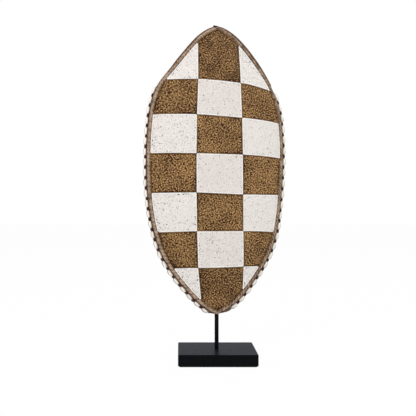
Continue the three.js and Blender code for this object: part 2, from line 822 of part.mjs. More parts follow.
const shield = new THREE.Group();
shield.position.x = -boreOffset;
shield.add(piece('shield_body', shieldBody(), 'carvedWood'));
shield.add(piece('cloth_cover', clothCover(), 'cloth'));
shield.add(piece('rim_cord_inner', rimCord(innerCordOffset), 'cord'));
shield.add(piece('rim_cord_outer', rimCord(innerCordOffset + cordPitch), 'cord'));
shield.add(piece('cowrie_tape_left', cowrieTape(-1), 'cowrie'));
shield.add(piece('cowrie_tape_right', cowrieTape(1), 'cowrie'));
for (let row = 0; row <= lines.length; row += 1) {
  const middleBrown = row % 2 === 0;
  const sideFinish = middleBrown ? 'whiteBeads' : 'brownBeads';
  const middleFinish = middleBrown ? 'brownBeads' : 'whiteBeads';
  shield.add(piece(`bead_panel_left_${row + 1}`, beadPanel(sidePanelOutline(row, 0)), sideFinish));
  shield.add(piece(`bead_panel_middle_${row + 1}`, beadPanel(middlePanelOutline(row)), middleFinish));
  shield.add(piece(`bead_panel_right_${row + 1}`, beadPanel(sidePanelOutline(row, 1)), sideFinish));
}
shield.add(piece('hand_grip', handGrip(), 'carvedWood'));
dowelPlaces.forEach((z, i) => (
  shield.add(piece(`grip_dowel_${i + 1}`, peg(dowelDiameter / 2, dowelStart, dowelLength - seatGap, z), 'carvedWood'))
));
turning.add(shield);

export default object;
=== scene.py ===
import math

import bpy
import numpy as np
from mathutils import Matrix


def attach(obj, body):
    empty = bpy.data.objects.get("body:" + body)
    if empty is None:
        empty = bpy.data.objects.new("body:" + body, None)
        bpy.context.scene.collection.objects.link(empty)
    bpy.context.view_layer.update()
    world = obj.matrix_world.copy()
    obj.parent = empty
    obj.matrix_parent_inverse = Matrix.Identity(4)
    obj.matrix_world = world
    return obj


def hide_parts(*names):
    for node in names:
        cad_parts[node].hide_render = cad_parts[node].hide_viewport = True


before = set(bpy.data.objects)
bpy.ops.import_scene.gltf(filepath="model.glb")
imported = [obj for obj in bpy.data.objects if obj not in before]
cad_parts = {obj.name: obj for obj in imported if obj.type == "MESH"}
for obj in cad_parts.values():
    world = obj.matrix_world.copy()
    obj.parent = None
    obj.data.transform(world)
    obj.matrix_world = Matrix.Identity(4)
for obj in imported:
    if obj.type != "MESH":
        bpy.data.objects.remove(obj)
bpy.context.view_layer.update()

# Shield, in millimetres, as the solids have it
shield_turn = math.radians(12)
bore_offset = 2.4
foot_height = 109.5
leaf_bottom = 119.0
leaf_height = 649.0
leaf_half_width = 155.5
leaf_middle = leaf_bottom + leaf_height / 2
shoulder_front = 10.0
shoulder_width = 6.5
dome_rise = 24.0
dome_power = 3
body_back = 13.0
wall_thickness = 11.0
back_rim_width = 14.5
foot_solid = 125.0
wall_flare = 6.5
wall_drop = 7.5
wall_shift = 7.0
seat_gap = 0.3
cloth_thickness = 0.8
cloth_layer = seat_gap + cloth_thickness
hem_width = 12.0
cord_diameter = 3.5
cord_offsets = {"inner": 2.25, "outer": 6.05}
tape_width = 13.0
tape_thickness = 1.6
tape_front = -8.5
cowrie_length = 19.5
cowrie_width = 13.0

# Outline of the leaf from the lower tip to the upper one: height and half width, as shares
right_shares = [
    (0, 0), (0.016, 0.135), (0.05, 0.32), (0.146, 0.636), (0.21, 0.79), (0.273, 0.88), (0.338, 0.929),
    (0.435, 0.968), (0.53, 0.99), (0.627, 0.983), (0.722, 0.935), (0.786, 0.838), (0.83, 0.73),
    (0.894, 0.53), (0.938, 0.37), (0.972, 0.21), (1, 0),
]
left_shares = [
    (0, 0), (0.016, 0.125), (0.05, 0.293), (0.1, 0.48), (0.146, 0.632), (0.21, 0.788), (0.273, 0.88),
    (0.338, 0.942), (0.435, 0.99), (0.53, 1), (0.627, 0.985), (0.722, 0.935), (0.786, 0.84), (0.851, 0.63),
    (0.946, 0.305), (0.972, 0.19), (1, 0),
]

# Row lines of the checker from the top down: height at the left rim, both column lines and the right rim
row_shares = [
    (0.81, 0.813, 0.807, 0.79), (0.687, 0.688, 0.682, 0.673), (0.553, 0.553, 0.552, 0.546),
    (0.416, 0.418, 0.412, 0.412), (0.28, 0.284, 0.283, 0.277), (0.154, 0.156, 0.156, 0.154),
]
# How far left and right the column lines lie above the upper tip, at each row line and below the lower tip.
# Only the last left one is not as the solids have it: it follows the photograph.
column_shares = [
    (0.284, 0.328), (0.312, 0.332), (0.343, 0.34), (0.353, 0.347), (0.351, 0.352), (0.339, 0.363),
    (0.31, 0.388), (0.205, 0.398),
]
droop_power = 1.5
beyond_leaf = 20.0

# Rod, grip and holes, in millimetres
rod_diameter = 9.5
rod_top = 215.9
rod_chamfer = 0.8
rod_socket_radius = 2.4
rod_socket_depth = 8.3
stud_diameter = 8.0
base_height = 28.0
rod_bottom = 2.4
grip_length = 150.0
grip_foot = 24.0
grip_width = 24.0
grip_bar = 17.0
grip_front = -22.2
grip_reach = 58.0
grip_bend = 14.0
foot_line = (grip_length - grip_foot) / 2
bar_straight = 68.0
bore_radius = 6.75
drill_start = 20.0
bore_depth = 112.3
dowel_hole_ends = (-29.3, -9.0)
dowel_hole_radius = 4.3

# Cloth and carved edges, in millimetres
cloth_bend = 2.0
wood_bend = 1.5
back_bevel = 0.4
lip_width = 1.2
lip_drop = 0.2

# Beadwork, in millimetres: the tuck is how near a bead in a gap may come to another, and the two reaches are
# # those over which brown shades are evened out and their clouds of painted shade spread
bead_length = 2.6
bead_sides = 6
bead_kinds = {
    "white": {"width": 3.25, "strand_pitch": 2.8, "closest": 2.0, "tuck": 1.2, "edge_raise": 0.35},
    "brown": {"width": 3.05, "strand_pitch": 2.95, "closest": 2.1, "tuck": 2.0, "edge_raise": 0},
}
bead_pitch = 2.6
edge_pitch = 2.4
edge_overlap = 0.12
edge_slack = 0.25
rim_push = 0.4
gap_sink = 0.3
patch_size = 14.0
bend_radii = (9, 34)
mixing_reach = 1.7
cloud_reach = 9.0

# Rows of shells and their bindings, in millimetres: the height of one lashing, the pitches below and above
# it, and how near to the lower tip a shell may sit
strip_rise = {"left": 0.2, "right": 0.3}
shell_height = 5.5
row_forward = 1.2
row_anchor = {"left": 330.6, "right": 324.3}
row_pitch = {"left": (24.0, 23.4), "right": (24.5, 25.9)}
row_foot = {"left": 28.0, "right": 38.0}
bound_above = 636.0
roll_height = 3.5
roll_taper = 60.0
roll_turn = 1.8
roll_lean = 0.22
lump_length = 10.4
lump_width = 12.0
lump_height = 3.6
stitch_reach = 4.2
stitch_bow = 1.5
stitch_sink = 0.3
stitch_radius = 0.45

# Cords, in millimetres; the side shade is painted shade, the most that a cord's tone drops from left to
# right
thread_diameter = 2.1
ply_pitch = 9.0
cord_side_shade = 0.28
side_shade_spread = 60.0
tip_drop = {"inner": 0.8, "seam": 1.4, "outer": 2.0}
tip_reach = 8.0

# Tacks, in millimetres
tack_spacing = 26.0
tack_width = 5.5
tack_height = 1.3


# Lengths and meshes

def full_turn(sides):
    """Angles of evenly spaced points round a ring."""
    return np.linspace(0, 2 * math.pi, sides, endpoint=False)


def vectors(*parts):
    """Vectors from their parts, which are numbers or arrays."""
    return np.stack(np.broadcast_arrays(*parts), -1)


def unit(spans):
    """Each vector over its own length."""
    return spans / np.maximum(np.linalg.norm(spans, axis=-1, keepdims=True), 1e-12)


def run_length(path):
    """Length run from the start of a path to each of its points, or from ring to ring for a stack of
    rings."""
    return np.cumsum(np.linalg.norm(np.diff(path, axis=0, prepend=path[:1]), axis=-1), axis=0)


def points_at(path, at):
    """The points of a path at given lengths along it."""
    length = run_length(path)
    return np.stack([np.interp(at, length, ordinate) for ordinate in path.T], -1)


def smooth_path(points, count):
    """Centripetal Catmull-Rom curve through the points: each span is a cubic whose end slopes come from the
    neighbouring points at knot steps of the root of their distance. It is resampled at even lengths."""
    points = np.asarray(points, float)
    full = np.vstack([2 * points[0] - points[1], points, 2 * points[-1] - points[-2]])
    step = np.maximum(np.linalg.norm(np.diff(full, axis=0), axis=1), 1e-9) ** 0.5
    t = np.linspace(0, 1, 200, endpoint=False)[None, :, None]
    p0, p1, p2, p3 = (full[i:len(full) - 3 + i][:, None] for i in range(4))
    d0, d1, d2 = (step[i:len(step) - 2 + i][:, None, None] for i in range(3))
    slope1 = ((p1 - p0) / d0 - (p2 - p0) / (d0 + d1) + (p2 - p1) / d1) * d1
    slope2 = ((p2 - p1) / d1 - (p3 - p1) / (d1 + d2) + (p3 - p2) / d2) * d1
    curve = (2 * t ** 3 - 3 * t ** 2 + 1) * p1 + (t ** 3 - 2 * t ** 2 + t) * slope1
    curve = curve + (3 * t ** 2 - 2 * t ** 3) * p2 + (t ** 3 - t ** 2) * slope2
    curve = np.vstack([curve.reshape(-1, points.shape[1]), points[-1]])
    return points_at(curve, np.linspace(0, run_length(curve)[-1], count))


def shield_place(points):
    """Shield millimetres to the frame's metres: left by the bore's offset, then turned about the rod."""
    x, y = points[..., 0] - bore_offset, points[..., 1]
    cosine, sine = math.cos(shield_turn), math.sin(shield_turn)
    return vectors(cosine * x - sine * y, sine * x + cosine * y, points[..., 2]) / 1000


def skin_faces(skins, size, sides):
    """Faces of closed skins of one size: four-sided between rings of points, three-sided from the two end
    rings to the two closing points, which are the last of each skin's points."""
    here = np.arange(sides)
    after = (here + 1) % sides
    tail = size - 2 - sides
    row = np.arange(0, tail, sides)[:, None]
    quads = vectors(row + here, row + after, row + sides + after, row + sides + here).reshape(-1, 4)
    caps = np.vstack([vectors(after, here, size - 2), vectors(tail + here, tail + after, size - 1)])
    shift = (np.arange(skins) * size)[:, None, None]
    return (quads + shift).reshape(-1, 4), (caps + shift).reshape(-1, 3)


def skin_mesh(name, points, sides, layout=None, tones=None, smooth=True):
    """A mesh of closed skins from points in metres, one row for each skin. The layout gives each point two
    lengths in millimetres, and the tones a shade that the finish reads as its lightness."""
    points = points.reshape(-1, *points.shape[-2:])
    quads, caps = skin_faces(len(points), points.shape[1], sides)
    points = points.reshape(-1, 3)
    # the boxes that the triangles span with the middle sum to a negative volume where faces point inwards
    split = np.concatenate([quads[:, [0, 1, 2]], quads[:, [0, 2, 3]], caps])
    a, b, c = (points - points.mean(0))[split].transpose(1, 0, 2)
    if (a * np.cross(b, c)).sum() < 0:
        quads, caps = quads[:, ::-1], caps[:, ::-1]
    corners = np.append(quads, caps).astype(np.int32)
    starts = np.append(np.arange(len(quads)) * 4, quads.size + np.arange(len(caps)) * 3).astype(np.int32)
    mesh = bpy.data.meshes.new(name)
    mesh.vertices.add(len(points))
    mesh.vertices.foreach_set("co", points.astype(np.float32).ravel())
    mesh.loops.add(len(corners))
    mesh.loops.foreach_set("vertex_index", corners)
    mesh.polygons.add(len(starts))
    mesh.polygons.foreach_set("loop_start", starts)
    mesh.polygons.foreach_set("use_smooth", np.full(len(starts), smooth))
    mesh.update(calc_edges=True)
    if layout is not None:
        flat = mesh.uv_layers.new(name="layout")
        flat.data.foreach_set("uv", (layout[corners] / 1000).astype(np.float32).ravel())
    if tones is not None:
        mesh.attributes.new("tone", "FLOAT", "POINT").data.foreach_set("value", tones.astype(np.float32))
    return mesh


def show(mesh, material, slot, *nodes, body="shield"):
    """Puts a mesh in the scene as a piece that rides on a body and stands for the named solids."""
    piece = bpy.data.objects.new(mesh.name, mesh)
    bpy.context.scene.collection.objects.link(piece)
    mesh.materials.append(material)
    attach(piece, body)
    if nodes:
        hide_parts(*nodes)
    return piece


def signed_powers(sides, powers):
    """The cosine and the sine of a full turn, each to its own power with its sign kept."""
    turn = full_turn(sides)
    waves = zip((np.cos(turn), np.sin(turn)), powers)
    return [np.sign(wave) * np.abs(wave) ** power for wave, power in waves]


def section_rings(path, across, rise, sides, powers=(1, 1)):
    """A rounded section at each point of a path, with the path's ends as closing points: the across vector
    times the cosine to a power, plus the rise vector times the sine to a power, both with their signs
    kept."""
    a, b = signed_powers(sides, powers)
    rings = path[:, None] + across[:, None] * a[:, None] + rise[:, None] * b[:, None]
    return np.vstack([rings.reshape(-1, 3), path[:1], path[-1:]])


def swept(path, sides, up, half_width, half_depth, power=2):
    """A superellipse of the given power carried along a path, its half sizes across the path and along the
    up direction one number or one for each point."""
    along = unit(np.gradient(path, axis=0))
    across = unit(np.cross(along, up))
    rise = np.cross(across, along)
    across, rise = across * np.reshape(half_width, (-1, 1)), rise * np.reshape(half_depth, (-1, 1))
    return section_rings(path, across, rise, sides, (2 / power, 2 / power))


def turned_form(radius, height, ends, sides):
    """A form turned about its third axis from radii and heights, with closing points at two heights."""
    turn = full_turn(sides)
    rings = vectors(np.outer(radius, np.cos(turn)), np.outer(radius, np.sin(turn)), height[:, None])
    return np.vstack([rings.reshape(-1, 3), [(0, 0, ends[0])], [(0, 0, ends[1])]])


def tube_layout(girth, length):
    """Layout of a tube's rings and closing points: the way round it, then the way along it."""
    rings = np.stack(np.meshgrid(girth, length), -1).reshape(-1, 2)
    return np.vstack([rings, [(0, length[0])], [(0, length[-1])]])


def set_on(forms, centre, first, second, third):
    """Copies of a form, each moved to its centre with the form's axes turned to its own three directions."""
    return (centre[:, None] + forms[..., :1] * first[:, None] + forms[..., 1:2] * second[:, None]
            + forms[..., 2:] * third[:, None])


# Leaf

side_steps = 180


def leaf_side(shares, sign):
    """One side of the bead field from the lower tip to the upper one, in x and z."""
    height, width = np.array(shares, float).T
    side = vectors(sign * width * leaf_half_width, leaf_bottom + height * leaf_height)
    return smooth_path(side, side_steps + 1)


right_side = leaf_side(right_shares, 1)
left_side = leaf_side(left_shares, -1)
outline = np.vstack([right_side, left_side[1:-1][::-1]])
leaf_loop = outline[::2]
face_shares = np.linspace(0.04, 1, 30)


def outward_normals(loop, spread):
    """Outward direction at each point of a loop, averaged with a bell-shaped weight over its neighbours."""
    along = np.roll(loop, -1, axis=0) - np.roll(loop, 1, axis=0)
    normals = unit(vectors(along[:, 1], -along[:, 0]))
    reach = np.arange(-3 * spread, 3 * spread + 1)
    weight = np.exp(-0.5 * (reach / spread) ** 2)
    return unit(sum(w * np.roll(normals, int(-r), axis=0) for w, r in zip(weight, reach)))


outline_normals = outward_normals(outline, 3)


def out_share(x, z):
    """How far out a place lies, 0 at the middle of the leaf and 1 on its edge: its distance from the middle
    over the edge's along the same ray, with the leaf scaled to a half width and a half height of one."""
    across, up = x / leaf_half_width, (z - leaf_middle) / (leaf_height / 2)
    angle = np.arctan2(up, np.abs(across))
    reach = []
    for side in (left_side, right_side):
        side_across = np.abs(side[:, 0]) / leaf_half_width
        side_up = (side[:, 1] - leaf_middle) / (leaf_height / 2)
        reach.append(np.interp(angle, np.arctan2(side_up, side_across), np.hypot(side_across, side_up)))
    return np.hypot(across, up) / np.where(x < 0, reach[0], reach[1])


def face_depth(x, z):
    """Depth of the wooden face: the shoulder, and a dome that falls with the third power outwards."""
    return -shoulder_front - dome_rise * (1 - np.minimum(1, out_share(x, z)) ** dome_power)


def rim_ring(offset, y, layer):
    """The outline moved out by the offset and the wall's flare, then right and down. All but the offset grow
    with the way from the front shoulder to the back of the wall."""
    share = np.maximum(0, (y + shoulder_front) / (body_back + shoulder_front))
    moved = outline + outline_normals * (offset + wall_flare * share)
    z = np.maximum(moved[:, 1] - wall_drop * share, foot_height + cloth_layer - layer)
    return vectors(moved[:, 0] + wall_shift * share, y, z)


def face_ring(share, layer):
    """The outline drawn in to a share of its size about the leaf's middle, on the domed face."""
    y = -shoulder_front - layer - dome_rise * (1 - share ** dome_power)
    return vectors(outline[:, 0] * share, y, leaf_middle + (outline[:, 1] - leaf_middle) * share)


# Finishes

def linear(code):
    """Linear colour of an sRGB hex code, channel by channel."""
    channels = [int(code[i:i + 2], 16) / 255 for i in (0, 2, 4)]
    return [c / 12.92 if c <= 0.04045 else ((c + 0.055) / 1.055) ** 2.4 for c in channels] + [1.0]


def add(tree, kind, values=None, links=None, **settings):
    """Adds one node with its options, the values of its sockets and what feeds them: sockets, or nodes by
    their first output."""
    node = tree.nodes.new("ShaderNode" + kind)
    for option, value in settings.items():
        setattr(node, option, value)
    for socket, value in (values or {}).items():
        node.inputs[socket].default_value = value
    for socket, source in (links or {}).items():
        tree.links.new(getattr(source, "outputs", [source])[0], node.inputs[socket])
    return node


def start_finish(name, **values):
    """A material and its nodes, with the shader's plain values set on its own sockets."""
    material = bpy.data.materials.new(name)
    material.use_nodes = True
    tree = material.node_tree
    tree.nodes.clear()
    shader = add(tree, "BsdfPrincipled", {k.replace("_", " "): v for k, v in values.items()})
    add(tree, "OutputMaterial", links={"Surface": shader})
    return material, tree


def coloured(material, share, deep, pale, *reliefs):
    """Colours a material between two hex codes by a share, then raises its skin by reliefs laid one on
    another, each a height, a strength and a depth in metres."""
    tree = material.node_tree
    shader = tree.nodes["Principled BSDF"]
    blend = add(tree, "Mix", {6: linear(deep), 7: linear(pale)}, {0: share}, data_type="RGBA")
    tree.links.new(blend.outputs[2], shader.inputs["Base Color"])
    under = {}
    for height, strength, depth in reliefs:
        bump = add(tree, "Bump", {"Strength": strength, "Distance": depth}, {"Height": height, **under})
        under = {"Normal": bump}
        tree.links.new(bump.outputs[0], shader.inputs["Normal"])
    return material


def toned_finish(name, deep, pale, **values):
    """A smooth finish whose colour at each point is set by the piece's own shades."""
    material, tree = start_finish(name, **values)
    tone = add(tree, "Attribute", attribute_name="tone")
    return coloured(material, tone.outputs["Fac"], deep, pale)


def plant_fibre_cord(name, deep, pale):
    """Hand-twisted plant fibre: dull, with fine dark lines between fibres, paler worn tops and one paler
    ply."""
    material, tree = start_finish(name, Roughness=0.86, IOR=1.45)
    layout = add(tree, "UVMap", uv_map="layout")
    # fibres 0.25 mm wide run along each ply
    stretch = add(tree, "Mapping", {"Scale": (4000, 260, 1)}, {"Vector": layout})
    fibres = add(tree, "TexNoise", {"Scale": 1.0, "Detail": 3.0}, {"Vector": stretch})
    place = add(tree, "TexCoord")
    wear = add(tree, "TexNoise", {"Scale": 90.0, "Detail": 2.0}, {"Vector": place.outputs["Object"]})
    both = add(tree, "Math", links={0: fibres, 1: wear}, operation="ADD")
    tone = add(tree, "Attribute", attribute_name="tone")
    shaded = add(tree, "Math", {1: 0.36}, {0: tone.outputs["Fac"], 2: both}, operation="MULTIPLY_ADD")
    share = add(tree, "MapRange", {"From Min": 0.85, "From Max": 1.5}, {"Value": shaded})
    return coloured(material, share, deep, pale, (fibres, 0.5, 0.0002))


def coarse_cotton(name, deep, pale):
    """Plain-weave cotton of thick yarn: a matt grid of over and under threads with slubs."""
    material, tree = start_finish(
        name, Roughness=0.95, Specular_IOR_Level=0.2, Sheen_Weight=0.05, Sheen_Roughness=0.6)
    layout = add(tree, "UVMap", uv_map="layout")
    split = add(tree, "SeparateXYZ", links={0: layout})
    # yarns 1.1 mm apart: the product of two sets of sine ridges
    ridges = []
    for axis in ("X", "Y"):
        turn = add(tree, "Math", {1: 2 * math.pi / 0.0011}, {0: split.outputs[axis]}, operation="MULTIPLY")
        ridges.append(add(tree, "Math", links={0: turn}, operation="SINE"))
    weave = add(tree, "Math", links={0: ridges[0], 1: ridges[1]}, operation="MULTIPLY")
    slub = add(tree, "TexNoise", {"Scale": 400.0, "Detail": 3.0}, {"Vector": layout})
    height = add(tree, "Math", {2: 0.25}, {0: weave, 1: slub}, operation="MULTIPLY_ADD")
    share = add(tree, "MapRange", {"From Min": -0.4, "From Max": 0.9}, {"Value": height})
    return coloured(material, share, deep, pale, (height, 0.6, 0.0003))


def carved_hardwood(name, deep, pale):
    """Tropical hardwood cut with an adze and oiled: long grain along its height, shallow cuts, dull handled
    sheen."""
    material, tree = start_finish(name, Roughness=0.62, IOR=1.5)
    place = add(tree, "TexCoord")
    # grain lines about 2 mm apart and some 60 mm long
    stretch = add(tree, "Mapping", {"Scale": (450, 450, 16)}, {"Vector": place.outputs["Object"]})
    grain = add(tree, "TexNoise", {"Scale": 1.0, "Detail": 5.0, "Distortion": 0.4}, {"Vector": stretch})
    # adze cuts about 12 mm wide and 30 mm long
    spread = add(tree, "Mapping", {"Scale": (85, 85, 34)}, {"Vector": place.outputs["Object"]})
    cuts = add(tree, "TexVoronoi", {"Scale": 1.0}, {"Vector": spread}, feature="SMOOTH_F1")
    share = add(tree, "MapRange", {"From Min": 0.3, "From Max": 0.72}, {"Value": grain})
    height = add(tree, "Math", {2: 0.12}, {0: grain, 1: cuts}, operation="MULTIPLY_ADD")
    return coloured(material, share, deep, pale, (cuts, 0.35, 0.0012), (height, 0.3, 0.0004))


def satin_lacquer(name, deep, pale, roughness, gloss):
    """Black lacquer rubbed to satin: a faint bluish shine with broad unevenness, and dust-fine scratches."""
    material, tree = start_finish(
        name, IOR=1.5, Specular_IOR_Level=gloss, Sheen_Weight=0.09, Sheen_Roughness=0.3,
        Sheen_Tint=(0.05, 0.3, 1.0, 1.0))
    place = add(tree, "TexCoord")
    clouds = add(tree, "TexNoise", {"Scale": 60.0, "Detail": 4.0}, {"Vector": place.outputs["Object"]})
    rub = add(tree, "MapRange", {"To Min": roughness - 0.06, "To Max": roughness + 0.06},
              {"Value": clouds})
    tree.links.new(rub.outputs[0], tree.nodes["Principled BSDF"].inputs["Roughness"])
    fine = add(tree, "TexNoise", {"Scale": 900.0, "Detail": 2.0}, {"Vector": place.outputs["Object"]})
    return coloured(material, clouds, deep, pale, (fine, 0.05, 0.0002))


def grained_finish(name, deep, pale, scales, detail, strength, depth, **values):
    """A finish whose colour and relief both follow one fine grain, which has its own scale along each
    axis."""
    material, tree = start_finish(name, **values)
    place = add(tree, "TexCoord")
    stretch = add(tree, "Mapping", {"Scale": scales}, {"Vector": place.outputs["Object"]})
    grain = add(tree, "TexNoise", {"Scale": 1.0, "Detail": detail}, {"Vector": stretch})
    return coloured(material, grain, deep, pale, (grain, strength, depth))


def rolled_steel(name, deep, pale):
    """Mild steel as rolled and turned: grey metal with fine streaks."""
    return grained_finish(
        name, deep, pale, (120, 2400, 2400), 3.0, 0.15, 0.0002, Metallic=1.0, Roughness=0.42)


# opaque pressed glass: small highlights on every bead, and each bead its own shade
glass = {"Roughness": 0.26, "IOR": 1.52}
bead_glass = {
    "white": toned_finish("white_glass_beads", "ece6e3", "fffefe", Specular_IOR_Level=0.5, **glass),
    "brown": toned_finish("brown_glass_beads", "4b2c13", "deb278", Specular_IOR_Level=0.22, **glass),
}
# polished shell: a porcelain-like gloss, cream, greyer with painted shade in the slit, over the mouth and at
# the foot
shell_glaze = toned_finish(
    "cowrie_shell_glaze", "6f6353", "fffaf2", Roughness=0.3, IOR=1.53, Coat_Weight=0.4, Coat_Roughness=0.2)
taupe_cord = plant_fibre_cord("taupe_plant_cord", "4c3422", "dabca2")
wrap_cord = plant_fibre_cord("brown_wrapping_cord", "2c1810", "82614c")
knot_cord = plant_fibre_cord("dark_red_brown_cord", "1d0e0a", "55301f")
pale_thread = plant_fibre_cord("pale_seam_thread", "7a614c", "e3cab3")
stitch_thread = plant_fibre_cord("beige_stitch_thread", "8d7c69", "cdbfa9")
dark_cotton = coarse_cotton("dark_brown_cotton", "1f130b", "4f3725")
brown_tape = coarse_cotton("brown_cotton_tape", "3d2b20", "8a6f5c")
oiled_wood = carved_hardwood("oiled_carved_wood", "4a2f1c", "8a6140")
black_lacquer = satin_lacquer("satin_black_lacquer", "050608", "090a0d", 0.4, 0.05)
black_paint = satin_lacquer("satin_black_rod_paint", "131315", "18181a", 0.4, 0.015)
# pressed wool: short tangled fibres, quite matt
dark_felt = grained_finish(
    "dark_grey_felt", "17171a", "313135", (1400, 1400, 1400), 3.0, 0.6, 0.0004,
    Roughness=1.0, Sheen_Weight=0.3, Sheen_Roughness=0.5)
grey_steel = rolled_steel("plain_steel", "8d9096", "a7a9ad")
iron = rolled_steel("dark_iron_tacks", "3b3a3b", "5c5b5c")
# natural nylon off the lathe: milky and slightly waxy, with a fine grain from the tool
milky_nylon = grained_finish(
    "natural_nylon", "d9d7cd", "efeee8", (700, 700, 700), 2.0, 0.1, 0.0002,
    Roughness=0.45, IOR=1.53, Subsurface_Weight=0.1)


# Camera, light and floor, in metres

camera_lens = bpy.data.cameras.new("view")
camera_lens.lens = 40.2
camera_lens.sensor_width = 36.0
camera_lens.shift_x = 28.5 / 416
camera = bpy.data.objects.new("view", camera_lens)
camera.location = (-0.0866, -1.084, 0.3555)
camera.rotation_euler = (math.pi / 2, 0, 0)
bpy.context.scene.collection.objects.link(camera)
bpy.context.scene.camera = camera
bpy.context.scene.view_settings.view_transform = "Standard"


def soft_lamp(name, place, aim, size, power, colour):
    """Square studio lamp at a place, facing a point."""
    light = bpy.data.lights.new(name, "AREA")
    light.size = size
    light.energy = power
    light.color = linear(colour)[:3]
    lamp = bpy.data.objects.new(name, light)
    lamp.location = place
    away = unit(np.subtract(place, aim))
    lamp.rotation_euler = (math.acos(away[2]), 0, math.atan2(away[1], away[0]) + math.pi / 2)
    bpy.context.scene.collection.objects.link(lamp)


soft_lamp("upper_left_lamp", (-1.5, -1.6, 1.9), (0, 0, 0.4), 1.4, 26, "fff7f5")
soft_lamp("upper_right_lamp", (1.7, -1.4, 1.5), (0, 0, 0.4), 1.6, 15, "fbfdee")
soft_lamp("top_lamp", (0.2, 0.4, 2.4), (0, 0, 0.3), 1.6, 14, "ffffff")


def seen_white(tree, lit, glow, share, output):
    """Shows the glow, by a share, to camera, glossy and see-through rays, and the lit shader to the rays
    that light the part."""
    path = add(tree, "LightPath")
    seen = path.outputs["Is Camera Ray"]
    for kind in ("Is Glossy Ray", "Is Transmission Ray"):
        seen = add(tree, "Math", links={0: seen, 1: path.outputs[kind]}, operation="MAXIMUM")
    part = add(tree, "Math", {1: share}, {0: seen}, operation="MULTIPLY")
    either = add(tree, "MixShader", links={0: part, 1: lit, 2: glow})
    add(tree, output, links={"Surface": either})


world = bpy.data.worlds.new("studio")
bpy.context.scene.world = world
world.use_nodes = True
world.node_tree.nodes.clear()
room_light = add(world.node_tree, "Background", {"Color": (1, 1, 1, 1), "Strength": 0.55})
backdrop = add(world.node_tree, "Background", {"Color": (1, 1, 1, 1), "Strength": 1.0})
seen_white(world.node_tree, room_light, backdrop, 1.0, "OutputWorld")

floor_mesh = bpy.data.meshes.new("floor")
floor_mesh.from_pydata([(-9, -9, 0), (9, -9, 0), (9, 9, 0), (-9, 9, 0)], [], [(0, 1, 2, 3)])
floor = bpy.data.objects.new("floor", floor_mesh)
bpy.context.scene.collection.objects.link(floor)
floor_paper = bpy.data.materials.new("white_paper_floor")
floor_paper.use_nodes = True
floor_paper.node_tree.nodes.clear()
paper = add(floor_paper.node_tree, "BsdfDiffuse", {"Color": linear("f4f4f3")})
glow = add(floor_paper.node_tree, "Emission", {"Color": (1, 1, 1, 1), "Strength": 1.0})
# the paper keeps a little of its own shade, and with it the object's soft shadow
seen_white(floor_paper.node_tree, paper, glow, 0.97, "OutputMaterial")
floor_mesh.materials.append(floor_paper)


# Beadwork

# the lines above the upper tip and below the lower one are level
row_heights = leaf_bottom + np.array([(1,) * 4, *row_shares, (0,) * 4]) * leaf_height
row_heights[0] += beyond_leaf
row_heights[-1] -= beyond_leaf
column_places = np.array(column_shares) * leaf_half_width


def side_line(line, side):
    """One row line from a column line past the rim: level at first, drooping with the power 1.5."""
    start, inner, outer = column_places[line, side], row_heights[line, 1 + side], row_heights[line, 3 * side]
    past = (leaf_half_width + beyond_leaf, outer)
    if line in (0, len(row_heights) - 1):
        return np.array([(start, inner), past])
    edge = (left_side, right_side)[side]
    end = np.interp(outer, edge[:, 1], np.abs(edge[:, 0]))
    t = np.linspace(0, 1, 25)
    return np.vstack([vectors(start + (end - start) * t, inner + (outer - inner) * t ** droop_power), past])


def cell_outline(row, column):
    """Corners of one checker cell, column -1, 0 or 1, going once round; it runs past the leaf's edge."""
    if column == 0:
        corners = ((row, 0), (row, 1), (row + 1, 1), (row + 1, 0))
        return np.array([((2 * side - 1) * column_places[line, side], row_heights[line, 1 + side])
                         for line, side in corners])
    side = (column + 1) // 2
    return np.vstack([side_line(row, side), side_line(row + 1, side)[::-1]]) * (column, 1)


def inside_depth(places, loop):
    """Distance from each place to a closed outline, positive inside it and negative outside."""
    start, end = loop[None], np.roll(loop, -1, axis=0)[None]
    span = end - start
    t = ((places[:, None] - start) * span).sum(-1) / np.maximum((span ** 2).sum(-1), 1e-12)
    near = start + span * np.clip(t, 0, 1)[..., None]
    distance = np.linalg.norm(places[:, None] - near, axis=-1).min(1)
    rises = (start[..., 1] > places[:, None, 1]) != (end[..., 1] > places[:, None, 1])
    slope = np.where(np.abs(span[..., 1]) < 1e-9, 1e-9, span[..., 1])
    crossing = start[..., 0] + span[..., 0] * (places[:, None, 1] - start[..., 1]) / slope
    odd = (rises & (places[:, None, 0] < crossing)).sum(1) % 2 == 1
    return np.where(odd, distance, -distance)


def room_in(places, cell, push=0):
    """How deep each place lies inside both the cell and the leaf, with the leaf pushed out."""
    return np.minimum(inside_depth(places, cell), inside_depth(places, leaf_loop) + push)


def strand_along(loop, inset, pitch):
    """Bead places on a strand a set distance inside a closed outline, with their directions."""
    closed = np.vstack([loop, loop[:1]])
    length = run_length(closed)
    at = np.arange(0, length[-1], pitch)
    segment = np.minimum(np.searchsorted(length, at, side="right"), len(loop)) - 1
    along = unit(np.diff(closed, axis=0))[segment]
    # an area above zero means that the outline runs anticlockwise, with its inside on the left
    area = (closed[:-1, 0] * closed[1:, 1] - closed[1:, 0] * closed[:-1, 1]).sum()
    inward = vectors(-along[:, 1], along[:, 0]) * np.sign(area)
    return points_at(closed, at) + inward * inset, along


def thin_out(places, closest):
    """Keeps the places that no earlier place comes nearer to than the given distance."""
    apart = np.linalg.norm(places[:, None] - places[None], axis=-1)
    near = (apart < closest) & (np.arange(len(places))[None] < np.arange(len(places))[:, None])
    return ~near.any(1)


